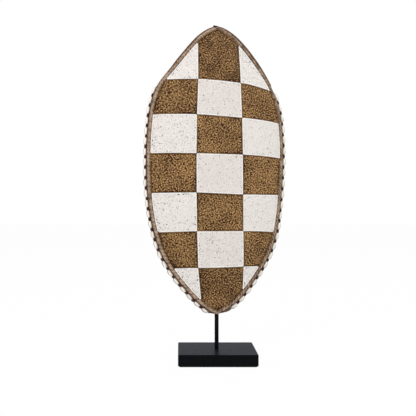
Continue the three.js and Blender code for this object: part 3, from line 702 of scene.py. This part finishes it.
def tucked_beads(places, cell, room, closest, chance):
    """Single beads for the gaps that the strands leave: tried places that no bead comes near to."""
    low, high = places.min(0), places.max(0)
    tries = low + chance.random((int(np.prod(high - low) / 2), 2)) * (high - low)
    tries = tries[room_in(tries, cell) > room]
    gap = np.linalg.norm(tries[:, None] - places[None], axis=-1).min(1)
    order = np.argsort(-gap[gap > closest])
    tries = tries[gap > closest][order]
    return tries[thin_out(tries, closest)]


def bead_rows(places, ways, mark, shade):
    """Beads as rows of numbers: place, direction, mark and shade."""
    each = np.ones((len(places), 1))
    return np.hstack([places, ways, mark * each, shade * each])


def cell_beads(row, column, kind, chance):
    """Beads of one cell: an outline strand, then patches of short bent strands, each patch a set of circles
    about its own far centre, kept where it is the nearest patch, then beads in the gaps. A mark of 1 is the
    outline strand, 0 a strand inside and -1 a bead in a gap; each strand has a shade of its own."""
    cell = cell_outline(row, column)
    pitch, half = kind["strand_pitch"], kind["width"] / 2 - edge_overlap
    found = []
    # the strand along the rim is pushed out against the cord
    for loop, push in ((cell, 0), (leaf_loop, rim_push)):
        places, along = strand_along(loop, half - push, edge_pitch)
        keep = room_in(places, cell, push) > half - edge_slack
        found.append(bead_rows(places[keep], along[keep], 1, 0))
    edge = np.vstack(found)[:, :2]
    low = edge.min(0)
    counts = np.ceil((edge.max(0) - low) / patch_size).astype(int) + 1
    grid = np.stack(np.meshgrid(*map(np.arange, counts)), -1).reshape(-1, 2)
    seeds = low + (grid + chance.uniform(-0.35, 0.35, grid.shape)) * patch_size
    for patch, seed in enumerate(seeds):
        radius = chance.uniform(*bend_radii)
        turn = chance.uniform(0, 2 * math.pi)
        middle = seed + radius * np.array([math.cos(turn), math.sin(turn)])
        rings = radius + np.arange(-6, 7) * pitch
        for ring in rings[rings > pitch]:
            step = bead_pitch / ring
            reach = min(math.pi, 1.4 * patch_size / ring)
            angle = turn + math.pi + np.arange(-reach, reach, step) + chance.uniform(0, step)
            places = middle + ring * vectors(np.cos(angle), np.sin(angle))
            nearest = np.linalg.norm(places[:, None] - seeds[None], axis=-1).argmin(1)
            places, angle = places[nearest == patch], angle[nearest == patch]
            found.append(bead_rows(places, vectors(-np.sin(angle), np.cos(angle)), 0, chance.normal(0, 1)))
    beads = np.vstack(found)
    room = kind["width"] / 2 + 0.85 * pitch
    beads = beads[(beads[:, 4] > 0) | (room_in(beads[:, :2], cell) > room)]
    beads = beads[(beads[:, 4] > 0) | thin_out(beads[:, :2], kind["closest"])]
    extra = tucked_beads(beads[:, :2], cell, half + kind["tuck"], kind["tuck"], chance)
    turn = chance.uniform(0, 2 * math.pi, len(extra))
    shade = chance.normal(0, 1, (len(extra), 1))
    return np.vstack([beads, bead_rows(extra, vectors(np.cos(turn), np.sin(turn)), -1, shade)])


def bead_form(width):
    """One bead: a barrel of six sides with rounded ends dimpled at the thread hole, length along its first
    axis."""
    along, out = np.array([(-0.5, 0.24), (-0.27, 0.49), (0.27, 0.49), (0.5, 0.24)]).T
    dimples = (-0.36 * bead_length, 0.36 * bead_length)
    return turned_form(out * width, along * bead_length, dimples, bead_sides)[:, [2, 0, 1]]


def nearby_mean(values, places, reach):
    """The mean of the values around each place, weighted with a bell shape of the given reach."""
    apart = np.linalg.norm(places[:, None] - places[None], axis=-1)
    weight = np.exp(-0.5 * (apart / reach) ** 2)
    return weight @ values / weight.sum(1)


def white_tones(row, column, beads, chance):
    """Shades of white beads: palest in the outline strand, and a little darker in the middle column as
    painted shade.
    """
    # painted shade: the middle column darker than the side ones
    place = 0.1 + 0.25 * abs(column)
    return np.where(beads[:, 4] > 0, 1, place) + 0.06 * beads[:, 5] + chance.normal(0, 0.1, len(beads))


def brown_tones(row, column, beads, chance):
    """Shades of brown beads: darkest in the outline strand, with painted shade that makes the top and bottom
    cells a little darker and the side columns lighter. Light and dark beads lie mixed, with slow clouds of
    painted shade over them."""
    edge, places = beads[:, 4] > 0, beads[:, :2]
    high_or_low = (abs(row - 3) / 3) ** 2
    # painted shade: the top and bottom cells a little darker and the side columns lighter
    place = 0.42 + 0.03 * abs(column) - 0.14 * high_or_low
    uneven = np.where(edge, 0.14, 0.56 - 0.1 * high_or_low)
    own = chance.normal(0, 1, len(beads))
    mixed = own - nearby_mean(own, places, mixing_reach)
    # painted shade: slow clouds spread over the field
    cloud = nearby_mean(chance.normal(0, 1, len(beads)), places, cloud_reach)
    cloud = (cloud - cloud.mean()) / cloud.std()
    return np.where(edge, 0.16, place) + 0.02 * beads[:, 5] + uneven * mixed + 0.07 * cloud


def bead_panel(name, row, column, colour, chance):
    """All beads of one cell, each turned along its strand and set on the domed face."""
    kind = bead_kinds[colour]
    beads = cell_beads(row, column, kind, chance)
    x, z, way_x, way_z, marks = beads.T[:5]
    count = len(beads)
    raised = kind["edge_raise"] * (marks > 0) - gap_sink * (marks < 0)
    lift = cloth_layer + 0.46 * kind["width"] + raised + chance.normal(0, 0.12, count)
    centre = vectors(x, face_depth(x, z) - lift, z)
    # the face's slopes, over a millimetre
    rise_x = face_depth(x + 0.5, z) - face_depth(x - 0.5, z)
    rise_z = face_depth(x, z + 0.5) - face_depth(x, z - 0.5)
    along = vectors(way_x, rise_x * way_x + rise_z * way_z, way_z)
    along = unit(along + chance.normal(0, 0.08, (count, 3)))
    across = unit(np.cross(unit(vectors(rise_x, -1, rise_z)), along))
    forms = bead_form(kind["width"]) * chance.normal(1, 0.05, count)[:, None, None]
    placed = set_on(forms, centre, along, across, np.cross(along, across))
    tones = (white_tones if colour == "white" else brown_tones)(row, column, beads, chance)
    tones = np.repeat(np.clip(tones, 0, 1), placed.shape[1])
    mesh = skin_mesh(name, shield_place(placed), bead_sides, tones=tones)
    show(mesh, bead_glass[colour], colour + "_beads", name.replace("beads", "bead_panel"))


for row in range(7):
    for column, side_name in ((-1, "left"), (0, "middle"), (1, "right")):
        colour = "brown" if (row + abs(column)) % 2 == 0 else "white"
        chance = np.random.default_rng(100 + 10 * row + column)
        bead_panel(f"beads_{side_name}_{row + 1}", row, column, colour, chance)


# Cloth and wood of the shield

def cloth_rings(layer):
    """Rings of one side of the cloth, from the middle of the face over the rim and the wall to the hem. It
    bends round the shoulder and the back edge in quarter circles."""
    front, back, wall = -shoulder_front - layer, body_back + layer, shoulder_width + layer
    inner = wall - cloth_bend
    quarter = np.linspace(0, math.pi / 2, 6)[1:]
    ways = [(inner + cloth_bend * math.sin(a), front + cloth_bend * (1 - math.cos(a))) for a in quarter]
    ways += [(wall, y) for y in np.linspace(front + cloth_bend, back - cloth_bend, 8)[1:]]
    ways += [(inner + cloth_bend * math.cos(a), back - cloth_bend * (1 - math.sin(a))) for a in quarter]
    ways += [(offset, back) for offset in np.linspace(inner, shoulder_width - hem_width, 4)[1:]]
    return [face_ring(share, layer) for share in face_shares] + [rim_ring(*way, layer) for way in ways]


def ground_cloth():
    """Outer and inner side of the cloth joined at the hem and closed by a point in the middle of each. Its
    layout is x and z on the face, and the ways round and down on the wall and the hem."""
    outside, inside = cloth_rings(cloth_layer), cloth_rings(seat_gap)
    ends = [(0, -shoulder_front - layer - dome_rise, leaf_middle) for layer in (cloth_layer, seat_gap)]
    stack = np.stack(outside)
    down = run_length(stack)
    around = run_length(np.vstack([outline, outline[:1]]))[:-1] + 0 * down
    on_face = (np.arange(len(stack)) < len(face_shares))[:, None]
    layout = vectors(np.where(on_face, stack[..., 0], around), np.where(on_face, stack[..., 2], down))
    layout = np.vstack([*layout, *layout[::-1], [(0, leaf_middle)], [(0, leaf_middle)]])
    points = np.vstack([*outside, *inside[::-1], *ends])
    return skin_mesh("ground_cloth", shield_place(points), len(outline), layout)


cloth = show(ground_cloth(), dark_cotton, "cover_cloth", "cloth_cover")


def cut_holes(mesh, holes):
    """Cuts round holes, given as start, end and radius in metres, out of a closed mesh."""
    piece = bpy.data.objects.new("blank", mesh)
    bpy.context.scene.collection.objects.link(piece)
    tools = []
    for start, end, radius in holes:
        rings = swept(np.array([start, end]), 32, (1.0, 0.3, 0.2), radius, radius)
        tool = bpy.data.objects.new("drill", skin_mesh("drill", rings, 32, smooth=False))
        bpy.context.scene.collection.objects.link(tool)
        cutter = piece.modifiers.new("hole", "BOOLEAN")
        cutter.operation = "DIFFERENCE"
        cutter.solver = "EXACT"
        cutter.object = tool
        tools.append(tool)
    bpy.context.view_layer.update()
    result = bpy.data.meshes.new_from_object(piece.evaluated_get(bpy.context.evaluated_depsgraph_get()))
    for thing in [piece, *tools]:
        bpy.data.objects.remove(thing)
    return result


def wood_rings():
    """Rings of the carved body: domed face, shoulder, wall, back rim, then the hollow down to its floor."""
    rings = [face_ring(share, 0) for share in face_shares]
    for angle in np.linspace(0, math.pi / 2, 5)[1:]:
        y = -shoulder_front + wood_bend * (1 - math.cos(angle))
        rings.append(rim_ring(shoulder_width - wood_bend + wood_bend * math.sin(angle), y, 0))
    rings.append(rim_ring(shoulder_width, body_back - back_bevel, 0))
    rings.append(rim_ring(shoulder_width - back_bevel, body_back, 0))
    inner = outline + outline_normals * (shoulder_width - back_rim_width)
    inner[:, 1] = np.maximum(inner[:, 1], foot_height + foot_solid)
    edge = inner + (wall_shift, -wall_drop)
    lip = edge - lip_width * unit(edge - (0, leaf_middle))
    rings += [np.insert(edge, 1, body_back, axis=1), np.insert(lip, 1, body_back - lip_drop, axis=1)]
    for share in np.concatenate([[1.0, 0.985], np.linspace(0.95, 0.06, 22)]):
        x, z = inner[:, 0] * share, leaf_middle + (inner[:, 1] - leaf_middle) * share
        rings.append(vectors(x, wall_thickness + face_depth(x, z), z))
    return rings


def carved_body():
    """The wood, with the rod's bore and the two dowel holes drilled."""
    front = -shoulder_front - dome_rise
    ends = [(0, front, leaf_middle), (0, wall_thickness + front, leaf_middle)]
    mesh = skin_mesh("shield_core", shield_place(np.vstack([*wood_rings(), *ends])), len(outline))
    bore = (0, 0, (foot_height - drill_start) / 1000), (0, 0, (foot_height + bore_depth) / 1000)
    holes = [(*bore, bore_radius / 1000)]
    for z in (leaf_middle - foot_line, leaf_middle + foot_line):
        start, end = shield_place(np.array([(0, y, z) for y in dowel_hole_ends]))
        holes.append((start, end, dowel_hole_radius / 1000))
    return cut_holes(mesh, holes)


show(carved_body(), oiled_wood, "carved_wood", "shield_body").name = "shield_core"


def carved_grip():
    """Arched grip: its middle line rises from one foot, bends into the bar and comes down to the other
    foot."""
    bar_line = grip_front + grip_reach - grip_bar / 2
    arm = [
        (grip_front, foot_line), (grip_front + grip_bend, foot_line), (bar_line - grip_bend, foot_line - 2),
        (bar_line - 2, foot_line - grip_bend), (bar_line, bar_straight / 2)]
    path = smooth_path([(0, y, leaf_middle - z) for y, z in arm] + [(0, bar_line, leaf_middle)]
                       + [(0, y, leaf_middle + z) for y, z in reversed(arm)], 96)
    share = np.abs(path[:, 2] - leaf_middle) / foot_line
    half_across = grip_width / 2 - 1.5 * (1 - share ** 4)
    half_deep = grip_bar / 2 + (grip_foot - grip_bar) / 2 * share ** 6
    points = swept(path, 32, (1.0, 0, 0), half_deep, half_across, 2.7)
    return skin_mesh("carved_grip", shield_place(points), 32)


show(carved_grip(), oiled_wood, "carved_wood", "hand_grip")


# Cords

cord_depth = -shoulder_front - cloth_layer - seat_gap - cord_diameter / 2


def rim_path(which, offset, depth, radius):
    """The way of a cord along the outline, once round from the foot, pulled down where it rounds the tip."""
    path = rim_ring(offset, -shoulder_front, 0)
    path[:, 1] = depth
    path[:, 2] = np.maximum(outline[:, 1] + outline_normals[:, 1] * offset, foot_height + radius)
    at_tip = path[:, 2] > leaf_middle
    path[:, 2] -= at_tip * tip_drop[which] * np.exp(-(path[:, 0] / tip_reach) ** 2)
    path = np.vstack([path, path[:1]])
    path[0, 0], path[-1, 0] = radius, -radius
    return smooth_path(path, 1900)


def twisted_cord(name, path, diameter):
    """Two plies wound about the path: each ply's middle line circles the path once in a pitch, at nearly a
    quarter of the diameter, and each ply is a round tube just over half the diameter thick, one paler than
    the other."""
    depth = np.array([0.0, 1.0, 0.0])
    side = unit(np.cross(unit(np.gradient(path, axis=0)), depth))
    length = run_length(path)
    winding, tube, sides = 0.235 * diameter, 0.265 * diameter, 8
    plies, tones = [], []
    for start, tone in ((0, 0.85), (math.pi, 0.15)):
        turn = (2 * math.pi * length / ply_pitch + start)[:, None]
        middle = path + winding * (np.cos(turn) * side + np.sin(turn) * depth)
        points = swept(middle, sides, depth, tube, tube)
        # painted shade: the cords are a little darker on the right of the shield
        tones.append(tone - cord_side_shade * np.clip(points[:, 0] / side_shade_spread + 0.5, 0, 1))
        plies.append(points)
    layout = np.tile(tube_layout(full_turn(sides) * tube, length), (2, 1))
    return skin_mesh(name, shield_place(np.stack(plies)), sides, layout, np.concatenate(tones))


for which, offset in cord_offsets.items():
    path = rim_path(which, offset, cord_depth, cord_diameter / 2)
    cord = twisted_cord("twisted_cord_" + which, path, cord_diameter)
    show(cord, taupe_cord, "rim_cord", "rim_cord_" + which)

# a pale thread lies in the groove between the two cords, touching both
groove = sum(cord_offsets.values()) / 2
half_apart = (cord_offsets["outer"] - cord_offsets["inner"]) / 2
thread_rise = math.sqrt(((cord_diameter + thread_diameter) / 2) ** 2 - half_apart ** 2)
path = rim_path("seam", groove, cord_depth - thread_rise, thread_diameter / 2)
show(twisted_cord("seam_thread", path, thread_diameter), pale_thread, "rim_cord")


# Cowries

def closed_form(x, y, z, shade):
    """A form from rows of points with a closing point at each end: its points, its sides, its shades and its
    layout, which is the length along it and the distance round it."""
    ends = [(0, y[end, 0], z[end].mean()) for end in (0, -1)]
    points = np.vstack([vectors(x, y, z).reshape(-1, 3), ends])
    shade = np.append(shade, [shade[0].mean(), shade[-1].mean()])
    sides = x.shape[1]
    return points, sides, shade, tube_layout(np.abs(x).max() * full_turn(sides), y[:, 0])[:, ::-1]


def flat_footed(turn):
    """Rise round a form that is sewn on: rounded above and nearly flat below."""
    return np.where(np.sin(turn) > 0, np.abs(np.sin(turn)) ** 0.75, -0.13)


def cowrie_form():
    """Underside of a shell, seen when it is sewn on: an egg flattened at its foot, with a slit along its
    length whose two lips carry small teeth. Length along the second axis, outwards along the third."""
    rows, sides = 34, 26
    t = (1 - np.cos(np.linspace(0, math.pi, rows + 2)[1:-1, None])) / 2 - 0.5
    bulge = np.sqrt(np.maximum(0, 1 - (2 * t) ** 2)) ** 0.9 * (1 + 0.22 * t)
    flat = np.maximum(0, 1 - np.abs(2 * t) ** 2.8) ** 0.55
    turn = full_turn(sides) + math.pi / sides
    x = bulge * np.cos(turn) * cowrie_width / 2
    top = np.sin(turn) > 0
    z = flat * flat_footed(turn) * shell_height
    off_slit = np.abs(x - 0.6 * np.sin(2 * t))
    slit = np.exp(-(off_slit / 0.75) ** 2) * top * (1 - (2 * t) ** 6)
    lips = np.exp(-((off_slit - 2.0) / 1.3) ** 2) * top * (1 - (2 * t) ** 4)
    teeth = 0.22 * np.cos(2 * math.pi * t * 15)
    z = z - 1.5 * slit + lips * (0.25 + teeth)
    # painted shade: the shell darkens towards its foot on the tape, in the slit and over the mouth round it;
    # the tooth gaps are darker, partly their own brownish colour and partly painted shade
    foot = np.clip(1 - np.sin(turn) * 2.2, 0, 1)
    mouth = np.exp(-(off_slit / 3.4) ** 4) * top
    shade = np.clip(1 - 0.5 * slit - 0.55 * mouth - 0.25 * lips * (0.5 - 2 * teeth) - 0.5 * foot, 0, 1)
    return closed_form(x, t * cowrie_length, z, shade)


def wound_form(length, width, height, turns):
    """An egg wound over with cord: half a superellipse across and along, its skin waving once for each
    turn, and its tone with it: painted shade in the grooves between turns, lighter on the ridges."""
    rows, sides = turns * 4 + 1, 16
    t = np.linspace(-0.5, 0.5, rows + 2)[1:-1, None]
    turn = full_turn(sides) + math.pi / sides
    wave = 1 + 0.055 * np.cos(2 * math.pi * turns * t + turn)
    bulge = np.maximum(0, 1 - np.abs(2 * t) ** 2.6) ** 0.42 * wave
    x = bulge * np.cos(turn) * width / 2
    z = bulge * flat_footed(turn) * height
    # painted shade: the tone follows the wave, darker in the grooves between turns
    return closed_form(x, t * length, z, 0.4 + 6 * (wave - 1))


def wall_frames(side, route, at):
    """Places on a wall line at given lengths, with their directions across it, along it and out from the
    wall."""
    along = unit(points_at(route, at + 2) - points_at(route, at - 2))
    flare = vectors(along[:, 2], 0, -along[:, 0]) * side * wall_flare
    depth = unit(np.array([wall_shift, body_back + shoulder_front, -wall_drop]) + flare)
    outwards = unit(np.cross(depth, along) * side)
    return points_at(route, at), np.cross(along, outwards), along, outwards


def on_wall(name, form, side, route, at, uneven, chance):
    """Copies of one form set at lengths of a wall line, each a little swung, sized and shaded of its own."""
    points, sides, shade, layout = form
    centre, across, along, outwards = wall_frames(side, route, at)
    count = len(at)
    swing = chance.normal(0, 2 * uneven, count)[:, None]
    along, across = unit(along + swing * across), unit(across - swing * along)
    size = chance.normal(1, uneven, count)[:, None, None]
    flip = np.where(chance.random(count) < 0.5, 1, -1)[:, None, None]
    forms = points * size * np.concatenate([flip, flip, np.ones_like(flip)], -1)
    tones = np.clip(shade + chance.normal(0, 0.04, count)[:, None], 0, 1).ravel()
    placed = set_on(forms, centre, across, along, outwards)
    return skin_mesh(name, shield_place(placed), sides, np.tile(layout, (count, 1)), tones)


def cowrie_row(side, side_name, chance):
    """Shells sewn end to end along one wall, up to where the cord binding of the top begins, with a dark
    lashing between each two. Gives the line that they lie on and their places along it."""
    offset = shoulder_width + cloth_layer + seat_gap + tape_thickness + strip_rise[side_name]
    ring = rim_ring(offset, tape_front + tape_width / 2 - row_forward, 0)
    route = ring[:side_steps + 1] if side > 0 else np.vstack([ring[:1], ring[side_steps:][::-1]])
    anchor, highest = np.interp((row_anchor[side_name], bound_above), route[:, 2], run_length(route))
    below, above = row_pitch[side_name]
    at = np.append(np.arange(anchor - below / 2, row_foot[side_name], -below)[::-1],
                   np.arange(anchor + above / 2, highest, above))
    shells = on_wall("cowries_" + side_name, cowrie_form(), side, route, at, 0.03, chance)
    show(shells, shell_glaze, "cowrie_shell", "cowrie_tape_" + side_name)
    lump = wound_form(lump_length, lump_width, lump_height, 6)
    between = (at[:-1] + at[1:]) / 2
    lashings = on_wall("shell_lashings_" + side_name, lump, side, route, between, 0.06, chance)
    show(lashings, knot_cord, "rim_cord")
    return route, at


def wall_strip(name, picks, height, turns, material, slot):
    """A strip of the given height on the wall, carried along picked points of the rim, with a superellipse
    for a section. Where it is wound with cord its skin waves once for each turn, with painted shade in the
    grooves between turns, and it is thinner over the tip, towards both its ends and on the left."""
    foot = shoulder_width + cloth_layer + 0.1
    front, back = (rim_ring(foot + height / 2, y, 0)[picks] for y in (tape_front, tape_front + tape_width))
    if turns:
        front, back = smooth_path(front, turns * 4 + 1), smooth_path(back, turns * 4 + 1)
    path = (front + back) / 2
    outwards = unit(np.cross(back - front, unit(np.gradient(path, axis=0))))
    outwards *= np.sign((outwards * (path - (0, 0, leaf_middle))).sum(-1, keepdims=True))
    share = np.linspace(0, 1, len(path))
    wave = thinner = 0 * share
    if turns:
        wave = 0.07 * np.cos(2 * math.pi * turns * share)
        tip = np.exp(-((path[:, 0] - 2) / 12) ** 2)
        to_end = np.minimum(share, 1 - share) * run_length(path)[-1]
        lean = roll_lean * np.tanh(path[:, 0] / 30)
        thinner = 0.6 * tip + 0.5 * np.maximum(0, 1 - to_end / roll_taper) - lean
    rise = outwards * (height / 2 * (1 + wave) * (1 - thinner))[:, None]
    path = path - outwards * (height / 2 * thinner)[:, None]
    sides, powers = 16, (0.35, 0.5)
    points = section_rings(path, (back - front) / 2, rise, sides, powers)
    layout = tube_layout(signed_powers(sides, powers)[0] * tape_width / 2, run_length(path))[:, ::-1]
    # painted shade: where it is wound, the tone is darker in the grooves between turns and lighter on the
    # ridges
    tones = np.append(np.repeat(0.4 + 5 * wave, sides), [0.4, 0.4])
    show(skin_mesh(name, shield_place(points), sides, layout, tones), material, slot)


def wall_stitches(side, side_name, route, at):
    """Threads that hold the shells: at both ends of each shell a short bent tube from the tape over its
    tip."""
    ends = np.concatenate([at - cowrie_length * 0.52, at + cowrie_length * 0.52])
    t = np.linspace(-1, 1, 7)
    path = vectors(t * stitch_reach, 0, np.sqrt(1 - t ** 2) * stitch_bow - stitch_sink)
    lead = unit(vectors(1, 0, -0.6 * t))
    along = np.tile((0.0, 1.0, 0.0), (len(t), 1))
    sides = 6
    stitch = section_rings(path, along * stitch_radius, np.cross(along, lead) * stitch_radius, sides)
    layout = tube_layout(full_turn(sides) * stitch_radius, t * stitch_reach)
    placed = set_on(stitch[None], *wall_frames(side, route, ends))
    mesh = skin_mesh(
        "shell_stitches_" + side_name, shield_place(placed), sides, np.tile(layout, (len(ends), 1)))
    show(mesh, stitch_thread, "rim_cord")


for side, side_name in ((-1, "left"), (1, "right")):
    chance = np.random.default_rng(40 + side)
    route, at = cowrie_row(side, side_name, chance)
    picks = np.arange(3, side_steps - 2) if side > 0 else np.arange(side_steps + 3, 2 * side_steps - 2)
    strip_height = tape_thickness + strip_rise[side_name]
    wall_strip("wall_strip_" + side_name, picks, strip_height, 0, brown_tape, "cover_cloth")
    wall_stitches(side, side_name, route, at)

# the cord binding runs over the upper tip from one row of shells to the other
high = np.flatnonzero(outline[:, 1] > bound_above + 5)
turns = int(run_length(outline[high])[-1] / roll_turn)
wall_strip("top_binding", high, tape_thickness + roll_height, turns, wrap_cord, "rim_cord")


# Knots and tacks

def tied_knot(name, centre, size, tube, material):
    """A small knot: the trefoil curve, sine plus twice the sine of the double turn, with a round tube along
    it."""
    t = np.linspace(0, 2 * math.pi, 97)
    path = vectors(np.sin(t) + 2 * np.sin(2 * t), -1.2 * np.sin(3 * t), np.cos(t) - 2 * np.cos(2 * t))
    path = centre + path * np.array(size) / 3
    sides = 10
    points = swept(path, sides, (0, 1.0, 0.05), tube, tube)
    layout = tube_layout(full_turn(sides) * tube, run_length(path))
    show(skin_mesh(name, shield_place(points), sides, layout), material, "rim_cord")


# the dark knot sits just left of the upper tip on the outer cord, and a lighter one closes the cords below
knot_at = np.argmin(np.hypot(outline[:, 0] + 7, outline[:, 1] - leaf_bottom - leaf_height))
knot_x, knot_z = outline[knot_at] + outline_normals[knot_at] * (cord_offsets["outer"] + 1.0)
tied_knot("top_knot", (knot_x, cord_depth, knot_z), (4.2, 1.8, 2.4), 1.3, knot_cord)
tied_knot("foot_knot", (0, cord_depth - 0.8, foot_height + 4.4), (2.6, 1.4, 2.2), 1.1, taupe_cord)


def hem_tacks():
    """Small domed tack heads in a row on the hem behind, each a cap of a ball closed by a flat underside."""
    ring = rim_ring(0, body_back + cloth_layer, cloth_layer)
    ring = np.vstack([ring, ring[:1]])
    whole = run_length(ring)[-1]
    count = int(whole / tack_spacing)
    centre = points_at(ring, (np.arange(count) + 0.5) * whole / count)
    rise = np.linspace(0.1, 1, 4) * math.pi / 2
    radius = np.append(tack_width / 2 * np.cos(rise[:-1]), 0.2)
    sides = 12
    head = turned_form(radius, tack_height * np.sin(rise), (-0.1, tack_height), sides)[:, [0, 2, 1]]
    return skin_mesh("hem_tacks", shield_place(centre[:, None] + head), sides)


show(hem_tacks(), iron, "bare_steel")


# Stand

def turned_rod():
    """Rod turned about the upright axis from a list of radius and height, with its threaded stud below."""
    stud, rod, seat = stud_diameter / 2, rod_diameter / 2, base_height + 0.25
    radius, height = np.array([
        (stud - 1.5, rod_bottom), (stud, rod_bottom + 1.5), (stud, seat), (rod - 0.25, seat),
        (rod, seat + 0.25), (rod, rod_top - rod_chamfer), (rod - 0.3, rod_top - 0.25),
        (rod - rod_chamfer, rod_top), (rod_socket_radius, rod_top),
        (rod_socket_radius - 0.1, rod_top - rod_socket_depth)]).T
    sides = 64
    points = turned_form(radius, height, (rod_bottom, rod_top - rod_socket_depth), sides)
    return skin_mesh("turned_rod", points / 1000, sides)


show(turned_rod(), black_paint, "black_rod", "stand_rod", body="stand")

for material, nodes in (
    (black_lacquer, ["base_block"]),
    (dark_felt, ["felt_pad"]),
    (grey_steel, ["ballast_plate", "rod_nut", "rod_washer", "socket_sleeve"]),
    (grey_steel, [f"ballast_screw_{number}" for number in range(1, 5)]),
    (milky_nylon, ["bearing_disc"]),
    (oiled_wood, ["grip_dowel_1", "grip_dowel_2"]),
):
    for node in nodes:
        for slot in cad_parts[node].material_slots:
            slot.material = material
